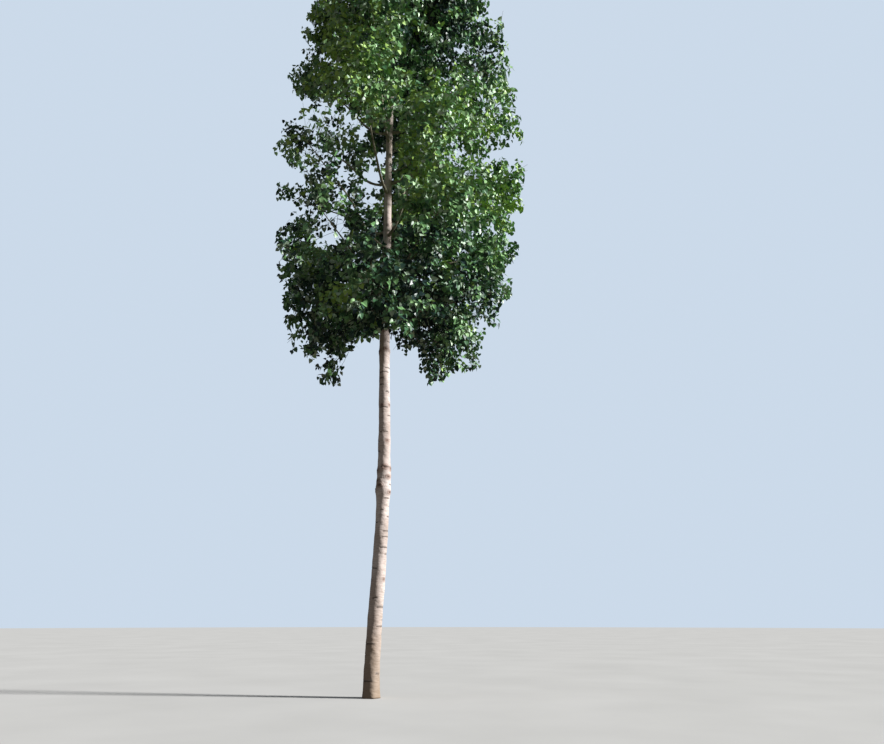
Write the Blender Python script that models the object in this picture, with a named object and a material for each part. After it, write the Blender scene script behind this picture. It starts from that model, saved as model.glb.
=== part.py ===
"""Poplar tree: one straight pale trunk, whorls of rising boughs, and a mass of foliage on each.

Metres, +Z up, origin on the ground at the middle of the trunk's flat cut.
The trunk runs whole from the ground to just under the leader's tip. Each bough is one
tapering limb that ends where it enters its mass. Each mass is a stem with twigs and large
leaves, every leaf standing for a spray, and keeps to its own cell of the crown.
"""
import math
import random

import bmesh
import bpy
from mathutils import Matrix, Vector
from mathutils.bvhtree import BVHTree

# Whole tree
TREE_HEIGHT = 22.0          # ground to the tip of the leader
CROWN_FOOT = 7.15           # ground to the lowest hanging leaves
GAP = 0.0003                # between neighbouring pieces

# Trunk
TRUNK_TOP = 20.2            # where the trunk ends and the leader's foliage goes on
BUTT_RADIUS = 0.163         # just above the flare
TAPER_END = 21.4            # height at which the taper would reach nothing
TAPER_POWER = 0.7           # under 1 keeps the lower trunk stout, as on a grown stem
FLARE = 0.16                # share that the radius gains at the ground
FLARE_HEIGHT = 0.22         # height over which most of the flare is lost
FLARE_LOBES = 5             # main roots that shape the flare
LOBE_SHARE = 0.35           # how deep the lobes are, as a share of the flare
TRUNK_SIDES = 16
FLARE_RINGS = (0.0, 0.06, 0.14, 0.26, 0.45, 0.8)
RING_STEP = 0.9
# The trunk's sway off plumb, as height and offset, across (x) and in depth (y)
SWAY_ACROSS = ((0.0, 0.0), (4.4, 0.14), (8.8, 0.06), (13.6, 0.03), (18.0, 0.12), (21.0, 0.14))
SWAY_DEPTH = ((0.0, 0.0), (5.5, -0.05), (12.0, 0.05), (21.0, -0.04))

# Crown
CROWN_REACH = 3.30          # mean radius at the widest
CROWN_WIDEST = 0.38         # share of the crown's height where it is widest
CROWN_FOOT_SHARE = 0.72     # radius at the crown's foot, as a share of the widest
CROWN_ROUND = 0.60          # under 1 keeps the upper crown full
OPEN_SIDE = 0.10            # share that the crown reaches further towards +X, the open side

# Whorls of boughs, lowest first: height of the feet on the trunk, height of the masses,
# number of boughs, and bearing of the first one in degrees
WHORLS = (
    (8.10, 8.45, 5, 267.0),
    (8.95, 10.25, 5, 234.0),
    (10.40, 12.00, 5, 226.0),
    (12.00, 13.80, 4, 255.0),
    (13.60, 15.50, 4, 262.0),
)
FOOT_STEP = 0.16            # in height, between two feet of the same whorl
FOOT_ORDER = 2              # bearings passed over from one foot up to the next
BOUGH_TIP = 0.46            # where a bough ends, as a share of the crown's radius
BOUGH_CLIMB = 0.62          # and of the climb from its foot to its mass
STEM_TIP = 0.90             # where a mass's stem ends, as a share of the crown's radius
STEM_CLIMB = 1.25           # and of the climb from the foot to the mass
BOUGH_THICKNESS = 0.0105    # radius at the foot for each metre of its length
BOUGH_POINTS = 7
BOUGH_END_RADIUS = 0.0230   # where a bough meets the stem of its mass
COLLAR = 0.035              # straight stub by which a limb leaves what carries it

# Shoots straight from the trunk: height of the foot, height of the mass, number, first bearing
UPPER_SHOOTS = (
    (15.80, 17.20, 3, 195.0),
    (17.30, 18.60, 3, 255.0),
    (18.70, 19.90, 2, 150.0),
)
# Short leafy shoots inside the crown: height of the foot and bearing
INNER_SHOOTS = ((9.75, 342.0), (11.20, 58.0), (12.70, 350.0), (14.60, 118.0))
INNER_RISE = 0.55           # from the foot of an inner shoot up to its tip
INNER_REACH = 1.05          # from the trunk's middle out to its tip

# Stems, twigs and leaves
STEM_RADIUS = 0.020
STEM_POINTS = 5
TIP_SHARE = 0.55            # a stem's radius at its tip, as a share of its foot
STEM_UPTURN = 0.2           # how much a stem turns up towards its end
TOP_FIT = 0.9               # the leader's radius where it starts, as a share of the trunk's
LEADER_LEAF_SHARE = 0.9     # share of a leaf's length left for the leaf at the very tip
TWIG_RADIUS = 0.014
TWIG_SPREAD = 58.0          # degrees between a twig and its stem
TWIG_STEP = 0.23            # along the stem, between one twig and the next
TWIG_LONGEST = 0.85
TWIG_SHORTEST = 0.16
END_ROOM = 0.45             # share of a leaf's length that a twig leaves free beyond its end
LEAF_LENGTH = 0.80
LEAF_WIDTH = 0.68
LEAF_THICKNESS = 0.028
LEAF_WIDEST = 0.43          # share of its length at which a leaf is widest
LEAF_STEP = 0.36            # along a twig, between one leaf and the next
LEAF_LOWEST = 0.10          # from a twig's foot to its first leaf, at least
LEAF_TRIES = 10
LEAF_LOOSE = 0.3            # chance lean of a leaf off its line
LEAF_DROOP = 0.2
LEAF_ROLL = 0.7             # chance roll about its own length, in radians
END_LEAF_DEPTH = 0.006      # how deep an end leaf's root is sunk in its twig
TWIG_SIDES = (60.0, 180.0, 300.0)   # bearings of a twig's three faces
MOST_LEAVES = 13            # in one mass
SHRINK = 0.04               # share that a leaf loses at each further try to fit it in
CELL_MARGIN = 0.006         # kept by every twig and leaf from the borders of its cell
LIMB_CLEARANCE = 1.12       # a leaf is tested against limbs at this many times its size
GOLDEN_ANGLE = math.pi * (3.0 - math.sqrt(5.0))
SEED = 24

# Colours (linear RGB) and roughness
TRUNK_BARK = ((0.56, 0.49, 0.42), 0.75)
BOUGH_BARK = ((0.30, 0.29, 0.22), 0.80)
FOLIAGE = ((0.055, 0.115, 0.045), 0.50)


def clear_scene():
    for item in list(bpy.data.objects):
        bpy.data.objects.remove(item, do_unlink=True)


def new_collection(name):
    group = bpy.data.collections.new(name)
    bpy.context.scene.collection.children.link(group)
    return group


def principled(name, colour, roughness):
    finish = bpy.data.materials.new(name)
    finish.use_nodes = True
    shader = finish.node_tree.nodes["Principled BSDF"]
    shader.inputs["Base Color"].default_value = (*colour, 1.0)
    shader.inputs["Roughness"].default_value = roughness
    shader.inputs["Metallic"].default_value = 0.0
    finish.diffuse_color = (*colour, 1.0)
    return finish


def eased(stations, height):
    """The offset at height, eased from one station to the next."""
    if height >= stations[-1][0]:
        return stations[-1][1]
    for (low, start), (high, end) in zip(stations, stations[1:]):
        if height <= high:
            share = (height - low) / (high - low)
            return start + (end - start) * (1.0 - math.cos(math.pi * share)) / 2.0
    return stations[-1][1]


def trunk_centre(height):
    return Vector((eased(SWAY_ACROSS, height), eased(SWAY_DEPTH, height), height))


def trunk_radius(height, bearing=0.0):
    taper = (1.0 - height / TAPER_END) ** TAPER_POWER
    lobes = 1.0 + LOBE_SHARE * math.cos(FLARE_LOBES * bearing)
    flare = FLARE * lobes * math.exp(-height / FLARE_HEIGHT)
    return BUTT_RADIUS * taper * (1.0 + flare)


def level(bearing):
    return Vector((math.cos(bearing), math.sin(bearing), 0.0))


def crown_radius(height, bearing):
    """How far the crown reaches from the trunk's middle at this height and bearing."""
    share = (height - CROWN_FOOT) / (TREE_HEIGHT - CROWN_FOOT)
    if not 0.0 <= share <= 1.0:
        return 0.0
    if share < CROWN_WIDEST:
        rise = math.sin(math.pi / 2.0 * share / CROWN_WIDEST)
        swell = CROWN_FOOT_SHARE + (1.0 - CROWN_FOOT_SHARE) * rise
    else:
        fall = (share - CROWN_WIDEST) / (1.0 - CROWN_WIDEST)
        swell = max(math.cos(math.pi / 2.0 * fall), 0.0) ** CROWN_ROUND
    return CROWN_REACH * swell * (1.0 + OPEN_SIDE * math.cos(bearing))


def in_crown(point):
    out = point - trunk_centre(point.z)
    bearing = math.atan2(out.y, out.x)
    return math.hypot(out.x, out.y) <= crown_radius(point.z, bearing)


def make_trunk(parts, finish):
    """Rings extruded one above another from the flat cut, then capped."""
    shape = bmesh.new()
    bmesh.ops.create_circle(shape, cap_ends=False, segments=TRUNK_SIDES, radius=BUTT_RADIUS)
    heights = list(FLARE_RINGS)
    steps = round((TRUNK_TOP - FLARE_RINGS[-1]) / RING_STEP)
    for step in range(1, steps + 1):
        heights.append(FLARE_RINGS[-1] + (TRUNK_TOP - FLARE_RINGS[-1]) * step / steps)
    ring = list(shape.verts)
    edges = list(shape.edges)
    centre = Vector((0.0, 0.0, 0.0))
    for index, height in enumerate(heights):
        if index:
            grown = bmesh.ops.extrude_edge_only(shape, edges=edges)["geom"]
            ring = [item for item in grown if isinstance(item, bmesh.types.BMVert)]
            edges = [
                item for item in grown
                if isinstance(item, bmesh.types.BMEdge) and all(v in ring for v in item.verts)
            ]
        new_centre = trunk_centre(height)
        for vert in ring:
            out = vert.co - centre
            bearing = math.atan2(out.y, out.x)
            vert.co = new_centre + level(bearing) * trunk_radius(height, bearing)
        centre = new_centre
    bmesh.ops.holes_fill(shape, edges=[edge for edge in shape.edges if edge.is_boundary])
    bmesh.ops.triangulate(shape, faces=shape.faces)
    bmesh.ops.recalc_face_normals(shape, faces=shape.faces)
    mesh = bpy.data.meshes.new("trunk")
    shape.to_mesh(mesh)
    shape.free()
    mesh.materials.append(finish)
    trunk = bpy.data.objects.new("trunk", mesh)
    parts.objects.link(trunk)
    return trunk


def surface_of(objects):
    """One search tree over the faces of these objects, which all sit unmoved at the origin."""
    corners = []
    faces = []
    for item in objects:
        first = len(corners)
        corners.extend(vert.co.copy() for vert in item.data.vertices)
        faces.extend([first + corner for corner in face.vertices] for face in item.data.polygons)
    return BVHTree.FromPolygons(corners, faces)


def seat_on_trunk(trunk_surface, height, bearing, radius):
    """The middle and facing of a flat foot that lies the gap clear of the trunk's side."""
    out = level(bearing)
    start = trunk_centre(height) + out
    point, facing, _, _ = trunk_surface.ray_cast(start, -out)
    across = facing.cross(Vector((0.0, 0.0, 1.0))).normalized()
    along = across.cross(facing)
    lift = 0.0
    rim_points = 12
    for index in range(rim_points):
        turn = 2.0 * math.pi * index / rim_points
        rim = point + (across * math.cos(turn) + along * math.sin(turn)) * radius
        hit, _, _, _ = trunk_surface.ray_cast(rim + facing * radius, -facing)
        if hit is not None:
            lift = max(lift, (hit - point).dot(facing))
    return point + facing * (GAP + lift), facing


def sweep(start, heading, end, end_heading, count):
    """A limb's route: a short straight stub, then a curve that arrives along end_heading."""
    collar = start + heading * COLLAR
    pull = (end - collar).length / 3.0
    route = [start]
    for index in range(count - 1):
        t = index / (count - 2)
        route.append(
            collar * (1.0 - t) ** 3
            + (collar + heading * pull) * (3.0 * t * (1.0 - t) ** 2)
            + (end - end_heading * pull) * (3.0 * t * t * (1.0 - t))
            + end * t ** 3
        )
    return route


def make_limb(name, route, foot_radius, tip_radius, resolution, parts, finish):
    """A tapering round limb along route: a bevelled curve, made a mesh with welded caps."""
    curve = bpy.data.curves.new(name, "CURVE")
    curve.dimensions = "3D"
    curve.bevel_depth = 1.0
    curve.bevel_resolution = resolution
    curve.use_fill_caps = True
    spline = curve.splines.new("POLY")
    spline.points.add(len(route) - 1)
    lengths = [0.0]
    for low, high in zip(route, route[1:]):
        lengths.append(lengths[-1] + (high - low).length)
    for point, place, length in zip(spline.points, route, lengths):
        point.co = (*place, 1.0)
        point.radius = foot_radius + (tip_radius - foot_radius) * length / lengths[-1]
    guide = bpy.data.objects.new(name + "_curve", curve)
    parts.objects.link(guide)
    bpy.context.view_layer.update()
    evaluated = guide.evaluated_get(bpy.context.evaluated_depsgraph_get())
    mesh = bpy.data.meshes.new_from_object(evaluated)
    bpy.data.objects.remove(guide, do_unlink=True)
    shape = bmesh.new()
    shape.from_mesh(mesh)
    bmesh.ops.remove_doubles(shape, verts=shape.verts, dist=1e-6)
    bmesh.ops.triangulate(shape, faces=shape.faces)
    bmesh.ops.recalc_face_normals(shape, faces=shape.faces)
    shape.to_mesh(mesh)
    shape.free()
    mesh.name = name
    mesh.materials.clear()
    mesh.materials.append(finish)
    limb = bpy.data.objects.new(name, mesh)
    parts.objects.link(limb)
    return limb


def twig_shape():
    """A three-sided tapering twig one metre long, from the origin along +Z."""
    shape = bmesh.new()
    bmesh.ops.create_cone(
        shape, cap_ends=True, segments=3, radius1=1.0, radius2=0.75, depth=1.0,
        matrix=Matrix.Translation((0.0, 0.0, 0.5)),
    )
    mesh = bpy.data.meshes.new("twig")
    shape.to_mesh(mesh)
    shape.free()
    return mesh


def leaf_shape():
    """A broad pointed leaf of 8 faces along +Y from its root: a ball of 6 corners, drawn out."""
    shape = bmesh.new()
    bmesh.ops.create_uvsphere(shape, u_segments=4, v_segments=2, radius=1.0)
    for vert in shape.verts:
        ahead = vert.co.y
        behind = LEAF_WIDEST * LEAF_LENGTH
        before = LEAF_LENGTH - behind
        vert.co.x *= LEAF_WIDTH / 2.0
        vert.co.y = behind + ahead * (before if ahead > 0.0 else behind)
        vert.co.z *= LEAF_THICKNESS / 2.0
    mesh = bpy.data.meshes.new("leaf")
    shape.to_mesh(mesh)
    shape.free()
    return mesh


def corners_of(mesh, matrix):
    return [matrix @ vert.co for vert in mesh.vertices]


def surface_at(mesh, matrix):
    """A search tree over the faces of mesh when it is placed by matrix."""
    return BVHTree.FromPolygons(corners_of(mesh, matrix), [face.vertices[:] for face in mesh.polygons])


class Cell:
    """The part of the crown nearer to this mass's middle than to any other's."""

    def __init__(self, middle, others):
        self.borders = []
        for other in others:
            away = other - middle
            halfway = (middle + other) / 2.0
            self.borders.append((away.normalized(), halfway))

    def holds(self, points):
        for point in points:
            if not in_crown(point):
                return False
            for away, halfway in self.borders:
                if (point - halfway).dot(away) > -CELL_MARGIN:
                    return False
        return True

    def room(self, point, heading):
        """How far from point along heading the cell and the crown go on."""
        distance = 0.0
        stride = 0.06
        while distance < TWIG_LONGEST + LEAF_LENGTH:
            if not self.holds([point + heading * (distance + stride)]):
                return distance
            distance += stride
        return distance


def towards(heading, radial):
    """A turn that takes +Y to heading and +Z as near to radial as it can be."""
    ahead = heading.normalized()
    side = ahead.cross(radial).normalized()
    face = side.cross(ahead)
    return Matrix((side, ahead, face)).transposed().to_4x4()


def stand_along(heading, rng):
    """A turn that takes +Z to heading, with a chance turn about it."""
    return heading.to_track_quat("Z", "Y").to_matrix().to_4x4() @ Matrix.Rotation(
        rng.uniform(0.0, 2.0 * math.pi), 4, "Z"
    )


class Mass:
    """Twigs and leaves grown by one seeded rule from a stem, inside one cell."""

    def __init__(self, stem, route, cell, limbs, shapes, helpers, rng):
        self.stem = stem
        self.route = route
        self.cell = cell
        self.limbs = limbs
        self.twig, self.leaf = shapes
        self.helpers = helpers
        self.rng = rng
        self.pieces = []
        self.leaves = []

    def clear(self, mesh, matrix):
        """Whether a piece placed so stays in the cell, off every other limb and off the leaves."""
        if not self.cell.holds(corners_of(mesh, matrix)):
            return False
        swollen = surface_at(mesh, matrix @ Matrix.Scale(LIMB_CLEARANCE, 4))
        if swollen.overlap(self.limbs):
            return False
        return not any(swollen.overlap(leaf) for leaf in self.leaves)

    def add(self, mesh, matrix):
        piece = bpy.data.objects.new(mesh.name, mesh)
        piece.matrix_world = matrix
        self.helpers.objects.link(piece)
        self.pieces.append(piece)

    def grow_leaf(self, root, ahead, across):
        """One leaf from root, near ahead and hanging a little, its width lying near across."""
        for attempt in range(LEAF_TRIES):
            if len(self.leaves) >= MOST_LEAVES:
                return
            loose = Vector([self.rng.uniform(-LEAF_LOOSE, LEAF_LOOSE) for _ in range(3)])
            heading = (ahead + loose + Vector((0.0, 0.0, -LEAF_DROOP))).normalized()
            roll = Matrix.Rotation(self.rng.uniform(-LEAF_ROLL, LEAF_ROLL), 3, heading)
            facing = roll @ heading.cross(across)
            size = (1.0 - SHRINK * attempt) * self.rng.uniform(0.9, 1.06)
            matrix = (
                Matrix.Translation(root) @ towards(heading, facing) @ Matrix.Scale(size, 4)
            )
            if self.clear(self.leaf, matrix):
                self.add(self.leaf, matrix)
                self.leaves.append(surface_at(self.leaf, matrix))
                return

    def grow_end_leaf(self, end, heading):
        """A leaf that goes on from the end of a twig or stem."""
        self.grow_leaf(end - heading * END_LEAF_DEPTH, heading, heading.orthogonal())

    def grow_twig(self, root, heading):
        """A twig as long as the cell gives it room for, with leaves along it and at its end."""
        length = min(self.cell.room(root, heading) - LEAF_LENGTH * END_ROOM, TWIG_LONGEST)
        if length < TWIG_SHORTEST:
            return
        stand = stand_along(heading, self.rng)
        size = Matrix.Diagonal((TWIG_RADIUS, TWIG_RADIUS, length, 1.0))
        matrix = Matrix.Translation(root) @ stand @ size
        if not self.clear(self.twig, matrix):
            return
        leaves_before = len(self.leaves)
        self.grow_end_leaf(root + heading * length, heading)
        reach = length - LEAF_STEP
        side_number = 0
        while reach > LEAF_LOWEST:
            turn = math.radians(TWIG_SIDES[side_number % len(TWIG_SIDES)])
            side = stand.to_3x3() @ level(turn)
            self.grow_leaf(root + heading * reach, (side + heading * 0.5).normalized(), heading)
            side_number += 1
            reach -= LEAF_STEP
        if len(self.leaves) > leaves_before:
            self.add(self.twig, matrix)

    def grow(self):
        """A leaf at the stem's tip, then twigs in a spiral from there down."""
        surface = surface_of([self.stem])
        last_heading = (self.route[-1] - self.route[-2]).normalized()
        self.grow_end_leaf(self.route[-1], last_heading)
        lengths = [(high - low).length for low, high in zip(self.route, self.route[1:])]
        distance = sum(lengths) - TWIG_STEP * 0.7
        turn = self.rng.uniform(0.0, 2.0 * math.pi)
        while distance > TWIG_STEP * 0.5:
            index = 0
            along = distance
            while along > lengths[index]:
                along -= lengths[index]
                index += 1
            heading = (self.route[index + 1] - self.route[index]).normalized()
            root = self.route[index] + heading * along
            outward = Matrix.Rotation(turn, 3, heading) @ heading.orthogonal().normalized()
            _, side, _, _ = surface.ray_cast(root + outward * STEM_RADIUS * 3.0, -outward)
            spread = math.radians(TWIG_SPREAD)
            self.grow_twig(root, (heading * math.cos(spread) + side * math.sin(spread)).normalized())
            turn += GOLDEN_ANGLE
            distance -= TWIG_STEP

    def join(self):
        """One union of the stem with everything grown on it, keeping only the main body."""
        union = self.stem.modifiers.new("join", "BOOLEAN")
        union.operation = "UNION"
        union.operand_type = "COLLECTION"
        union.collection = self.helpers
        union.solver = "EXACT"
        bpy.context.view_layer.update()
        evaluated = self.stem.evaluated_get(bpy.context.evaluated_depsgraph_get())
        joined = bpy.data.meshes.new_from_object(evaluated)
        self.stem.modifiers.clear()
        for piece in self.pieces:
            bpy.data.objects.remove(piece, do_unlink=True)
        keep_main_body(joined)
        finish = self.stem.data.materials[0]
        self.stem.data = joined
        joined.name = self.stem.name
        joined.materials.clear()
        joined.materials.append(finish)


def keep_main_body(mesh):
    """Drops loose scraps and the walls of sealed hollows, and leaves only triangles."""
    shape = bmesh.new()
    shape.from_mesh(mesh)
    bmesh.ops.triangulate(shape, faces=shape.faces)
    unseen = set(shape.verts)
    bodies = []
    while unseen:
        start = unseen.pop()
        body = {start}
        waiting = [start]
        while waiting:
            for edge in waiting.pop().link_edges:
                for vert in edge.verts:
                    if vert in unseen:
                        unseen.remove(vert)
                        body.add(vert)
                        waiting.append(vert)
        bodies.append(body)
    bodies.sort(key=len)
    for body in bodies[:-1]:
        bmesh.ops.delete(shape, geom=list(body), context="VERTS")
    shape.to_mesh(mesh)
    shape.free()


def crown_point(foot, mass_height, bearing, climb, share):
    """A point at a share of the climb from foot to mass, and a share of the crown's radius."""
    height = foot + (mass_height - foot) * climb
    return trunk_centre(height) + level(bearing) * crown_radius(height, bearing) * share


def plan_crown():
    """Every shoot from the trunk as its name, bearing, foot height, bough tip or None, and end."""
    plan = []
    for whorl, (foot, mass, count, first) in enumerate(WHORLS, 1):
        for index in range(count):
            bearing = math.radians(first) + 2.0 * math.pi * index / count
            lift = FOOT_STEP * (index * FOOT_ORDER % count)
            low = foot + lift
            high = mass + lift / 2.0
            tip = crown_point(low, high, bearing, BOUGH_CLIMB, BOUGH_TIP)
            end = crown_point(low, high, bearing, STEM_CLIMB, STEM_TIP)
            plan.append((f"{whorl}_{index + 1}", bearing, low, tip, end))
    for tier, (foot, mass, count, first) in enumerate(UPPER_SHOOTS, 1):
        for index in range(count):
            bearing = math.radians(first) + 2.0 * math.pi * index / count
            lift = FOOT_STEP * index
            end = crown_point(foot + lift, mass + lift, bearing, STEM_CLIMB, STEM_TIP)
            plan.append((f"upper_{tier}_{index + 1}", bearing, foot + lift, None, end))
    for index, (foot, degrees) in enumerate(INNER_SHOOTS, 1):
        bearing = math.radians(degrees)
        end = trunk_centre(foot + INNER_RISE) + level(bearing) * INNER_REACH
        plan.append((f"inner_{index}", bearing, foot, None, end))
    return plan


def make_bough(name, foot, bearing, tip, end, trunk_surface, parts, finish):
    """The bare part of a bough, from its seat on the trunk to where its mass begins."""
    foot_radius = BOUGH_THICKNESS * ((tip - trunk_centre(foot)).length + (end - tip).length)
    start, facing = seat_on_trunk(trunk_surface, foot, bearing, foot_radius)
    route = sweep(start, facing, tip, (end - tip).normalized(), BOUGH_POINTS)
    bough = make_limb("bough_" + name, route, foot_radius, BOUGH_END_RADIUS, 1, parts, finish)
    return bough, (route[-1] - route[-2]).normalized()


def make_stem(name, start, heading, end, radius, parts, finish):
    """A mass's stem, which leaves along heading and turns up a little towards its end."""
    onward = ((end - start).normalized() + Vector((0.0, 0.0, STEM_UPTURN))).normalized()
    route = sweep(start, heading, end, onward, STEM_POINTS)
    stem = make_limb("foliage_" + name, route, radius, radius * TIP_SHARE, 0, parts, finish)
    return stem, route


def make_leader(parts, finish):
    """The stem that goes on from the trunk's top to the tip of the tree."""
    up = Vector((0.0, 0.0, 1.0))
    start = trunk_centre(TRUNK_TOP) + up * GAP
    end = trunk_centre(TREE_HEIGHT) - up * LEAF_LENGTH * LEADER_LEAF_SHARE
    return make_stem("leader", start, up, end, trunk_radius(TRUNK_TOP) * TOP_FIT, parts, finish)


def build():
    clear_scene()
    parts = new_collection("poplar_tree")
    helpers = new_collection("helpers")
    trunk_bark = principled("pale_trunk_bark", *TRUNK_BARK)
    bough_bark = principled("grey_green_bough_bark", *BOUGH_BARK)
    foliage = principled("green_foliage", *FOLIAGE)

    trunk = make_trunk(parts, trunk_bark)
    trunk_surface = surface_of([trunk])
    limbs = [trunk]
    stems = []
    for name, bearing, foot, tip, end in plan_crown():
        if tip is None:
            start, heading = seat_on_trunk(trunk_surface, foot, bearing, STEM_RADIUS)
        else:
            bough, heading = make_bough(name, foot, bearing, tip, end, trunk_surface, parts,
                                        bough_bark)
            limbs.append(bough)
            start = tip + heading * GAP
        stems.append(make_stem(name, start, heading, end, STEM_RADIUS, parts, foliage))
    stems.append(make_leader(parts, foliage))

    shapes = (twig_shape(), leaf_shape())
    middles = [(route[1] + route[-1]) / 2.0 for _, route in stems]
    leaves = 0
    for index, (stem, route) in enumerate(stems):
        cell = Cell(middles[index], middles[:index] + middles[index + 1:])
        blockers = surface_of(limbs + [other for other, _ in stems if other is not stem])
        rng = random.Random(SEED * 1000 + index)
        mass = Mass(stem, route, cell, blockers, shapes, helpers, rng)
        mass.grow()
        mass.join()
        leaves += len(mass.leaves)
    for mesh in shapes:
        bpy.data.meshes.remove(mesh)
    triangles = sum(len(item.data.polygons) for item in parts.objects)
    print(len(parts.objects), "pieces,", leaves, "leaves,", triangles, "triangles")


build()
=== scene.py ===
# %% [markdown]
# # A tall poplar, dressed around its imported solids
#
# The tree is one straight pale trunk, pruned clear to over seven metres, that carries five
# whorls of rising boughs, shorter shoots above them and a leader on top, in full summer leaf.
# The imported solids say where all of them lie. Here the trunk and boughs get their bark, and
# each mass of foliage gets twigs and small leaves that grow by the rule of its solid.

# %% Load the frame
import math

import bmesh
import bpy
import numpy as np
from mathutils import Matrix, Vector


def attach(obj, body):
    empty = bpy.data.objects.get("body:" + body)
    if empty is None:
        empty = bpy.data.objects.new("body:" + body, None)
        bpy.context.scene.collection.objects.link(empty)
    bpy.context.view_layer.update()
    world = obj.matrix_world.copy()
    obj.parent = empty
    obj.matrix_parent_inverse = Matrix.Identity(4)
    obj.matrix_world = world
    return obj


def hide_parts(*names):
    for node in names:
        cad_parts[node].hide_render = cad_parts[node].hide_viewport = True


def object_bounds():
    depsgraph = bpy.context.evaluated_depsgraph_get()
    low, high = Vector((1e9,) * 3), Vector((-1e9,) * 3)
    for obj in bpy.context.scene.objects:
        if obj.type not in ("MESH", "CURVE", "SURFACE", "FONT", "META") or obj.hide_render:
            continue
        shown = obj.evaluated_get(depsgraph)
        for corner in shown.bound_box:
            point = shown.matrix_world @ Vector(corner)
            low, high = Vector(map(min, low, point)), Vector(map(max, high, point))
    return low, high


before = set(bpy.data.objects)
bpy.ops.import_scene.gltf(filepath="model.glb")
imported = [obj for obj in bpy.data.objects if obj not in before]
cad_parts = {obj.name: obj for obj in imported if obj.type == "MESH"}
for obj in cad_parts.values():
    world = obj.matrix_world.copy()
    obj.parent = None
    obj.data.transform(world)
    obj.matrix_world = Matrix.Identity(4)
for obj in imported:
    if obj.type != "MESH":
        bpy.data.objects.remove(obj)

scene = bpy.context.scene
cad_low, cad_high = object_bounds()

# %% [markdown]
# ## Where the photographer stood
#
# The picture was taken at eye height, about sixteen metres from the tree and a step to its
# right, with a short lens tipped up by nearly twenty degrees. A shifted lens could keep the
# trunk upright in the frame instead, but the trunks in the picture lean together, so a plain
# camera that tips up is right.

# %% Camera
EYE = (1.45, -15.67, 1.5)
TIP_UP = 19.5
LENS = 28.51
SENSOR = 36.0

lens = bpy.data.cameras.new("eye_level_camera")
lens.lens = LENS
lens.sensor_width = SENSOR
camera = bpy.data.objects.new("eye_level_camera", lens)
camera.location = EYE
camera.rotation_euler = (math.radians(90.0 + TIP_UP), 0.0, 0.0)
scene.collection.objects.link(camera)
scene.camera = camera
print("camera at", EYE, "tipped up", TIP_UP, "degrees")

# %% [markdown]
# ## A soft sun
#
# A wide sun from the right does the work of a very large soft box: it lights twenty metres of
# tree evenly and its broad disc softens the shadows. It stands square to the line of sight,
# as the trunk in the picture is lit on its right half and dark on its left.

# %% Sun
SUN_STRENGTH = 7.4
SUN_COLOUR = (1.0, 0.985, 0.965)
SUN_DISC = 7.0
SUN_FROM = (0.94, -0.15, 0.42)

sun = bpy.data.lights.new("soft_key", "SUN")
sun.energy = SUN_STRENGTH
sun.color = SUN_COLOUR
sun.angle = math.radians(SUN_DISC)
key = bpy.data.objects.new("soft_key", sun)
key.rotation_euler = Vector(SUN_FROM).to_track_quat("Z", "Y").to_euler()
scene.collection.objects.link(key)
print("sun of strength", SUN_STRENGTH, "from", SUN_FROM)

# %% [markdown]
# ## Finishes made of a few nodes
#
# Each surface has one plain shader. Its colour and bumps come from noises, ramps and mixes
# that read the object's own coordinates, so a pattern stays in its place from every side.
# Painted images would have to be laid out on every piece. A small class adds the nodes.

# %% Nodes
class Nodes:
    """The nodes of a material or of the world."""

    def __init__(self, owner):
        owner.use_nodes = True
        self.nodes = owner.node_tree.nodes
        self.links = owner.node_tree.links
        self.shader = self.nodes.get("Principled BSDF")

    def add(self, kind, inputs, **settings):
        """A new node. Each input gets a plain value or is linked to a socket."""
        node = self.nodes.new("ShaderNode" + kind)
        for name, value in settings.items():
            setattr(node, name, value)
        for name, value in inputs.items():
            if isinstance(value, bpy.types.NodeSocket):
                self.links.new(value, node.inputs[name])
            else:
                node.inputs[name].default_value = value
        return node

    def place(self):
        return self.add("TexCoord", {}).outputs["Object"]

    def noise(self, scale, detail, stretch=(1.0, 1.0, 1.0)):
        """A noise over the object's own coordinates, drawn out by stretch."""
        mapped = self.add("Mapping", {"Vector": self.place(), "Scale": stretch}).outputs["Vector"]
        inputs = {"Vector": mapped, "Scale": scale, "Detail": detail}
        return self.add("TexNoise", inputs).outputs["Fac"]

    def ramp(self, value, *stops):
        """A colour ramp over value. Each stop is its position and a linear colour."""
        ramp = self.add("ValToRGB", {"Fac": value})
        band = ramp.color_ramp
        while len(band.elements) < len(stops):
            band.elements.new(0.5)
        for element, (position, colour) in zip(band.elements, stops):
            element.position = position
            element.color = (*colour, 1.0)
        return ramp.outputs["Color"]

    def mix(self, share, under, over):
        """The colour under with the plain colour over painted on it, by share."""
        inputs = {0: share, 6: under, 7: (*over, 1.0)}
        return self.add("Mix", inputs, data_type="RGBA").outputs[2]

    def bump(self, height, strength, distance, **below):
        inputs = {"Height": height, "Strength": strength, "Distance": distance, **below}
        return self.add("Bump", inputs).outputs["Normal"]

    def split(self, rays, eye, output):
        """Shows one shader to the camera, and the other to all other rays."""
        seen = self.add("LightPath", {}).outputs["Is Camera Ray"]
        either = self.add("MixShader", {"Fac": seen, 1: rays, 2: eye})
        self.links.new(either.outputs["Shader"], self.nodes[output].inputs["Surface"])


def new_finish(name, roughness, specular):
    """A material with its roughness and specular level, and its nodes."""
    finish = bpy.data.materials.new(name)
    nodes = Nodes(finish)
    nodes.shader.inputs["Roughness"].default_value = roughness
    nodes.shader.inputs["Specular IOR Level"].default_value = specular
    return finish, nodes


# %% [markdown]
# ## A pale world
#
# The open shade under a blue sky is filled by a faint bluish world. The camera sees a plain
# pale backdrop instead: a world as bright as that would wash out the crown's shaded side.

# %% World
FILL = (0.82, 0.88, 0.96, 1.0)
FILL_STRENGTH = 0.20
BACKDROP = (0.60, 0.70, 0.82, 1.0)

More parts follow.
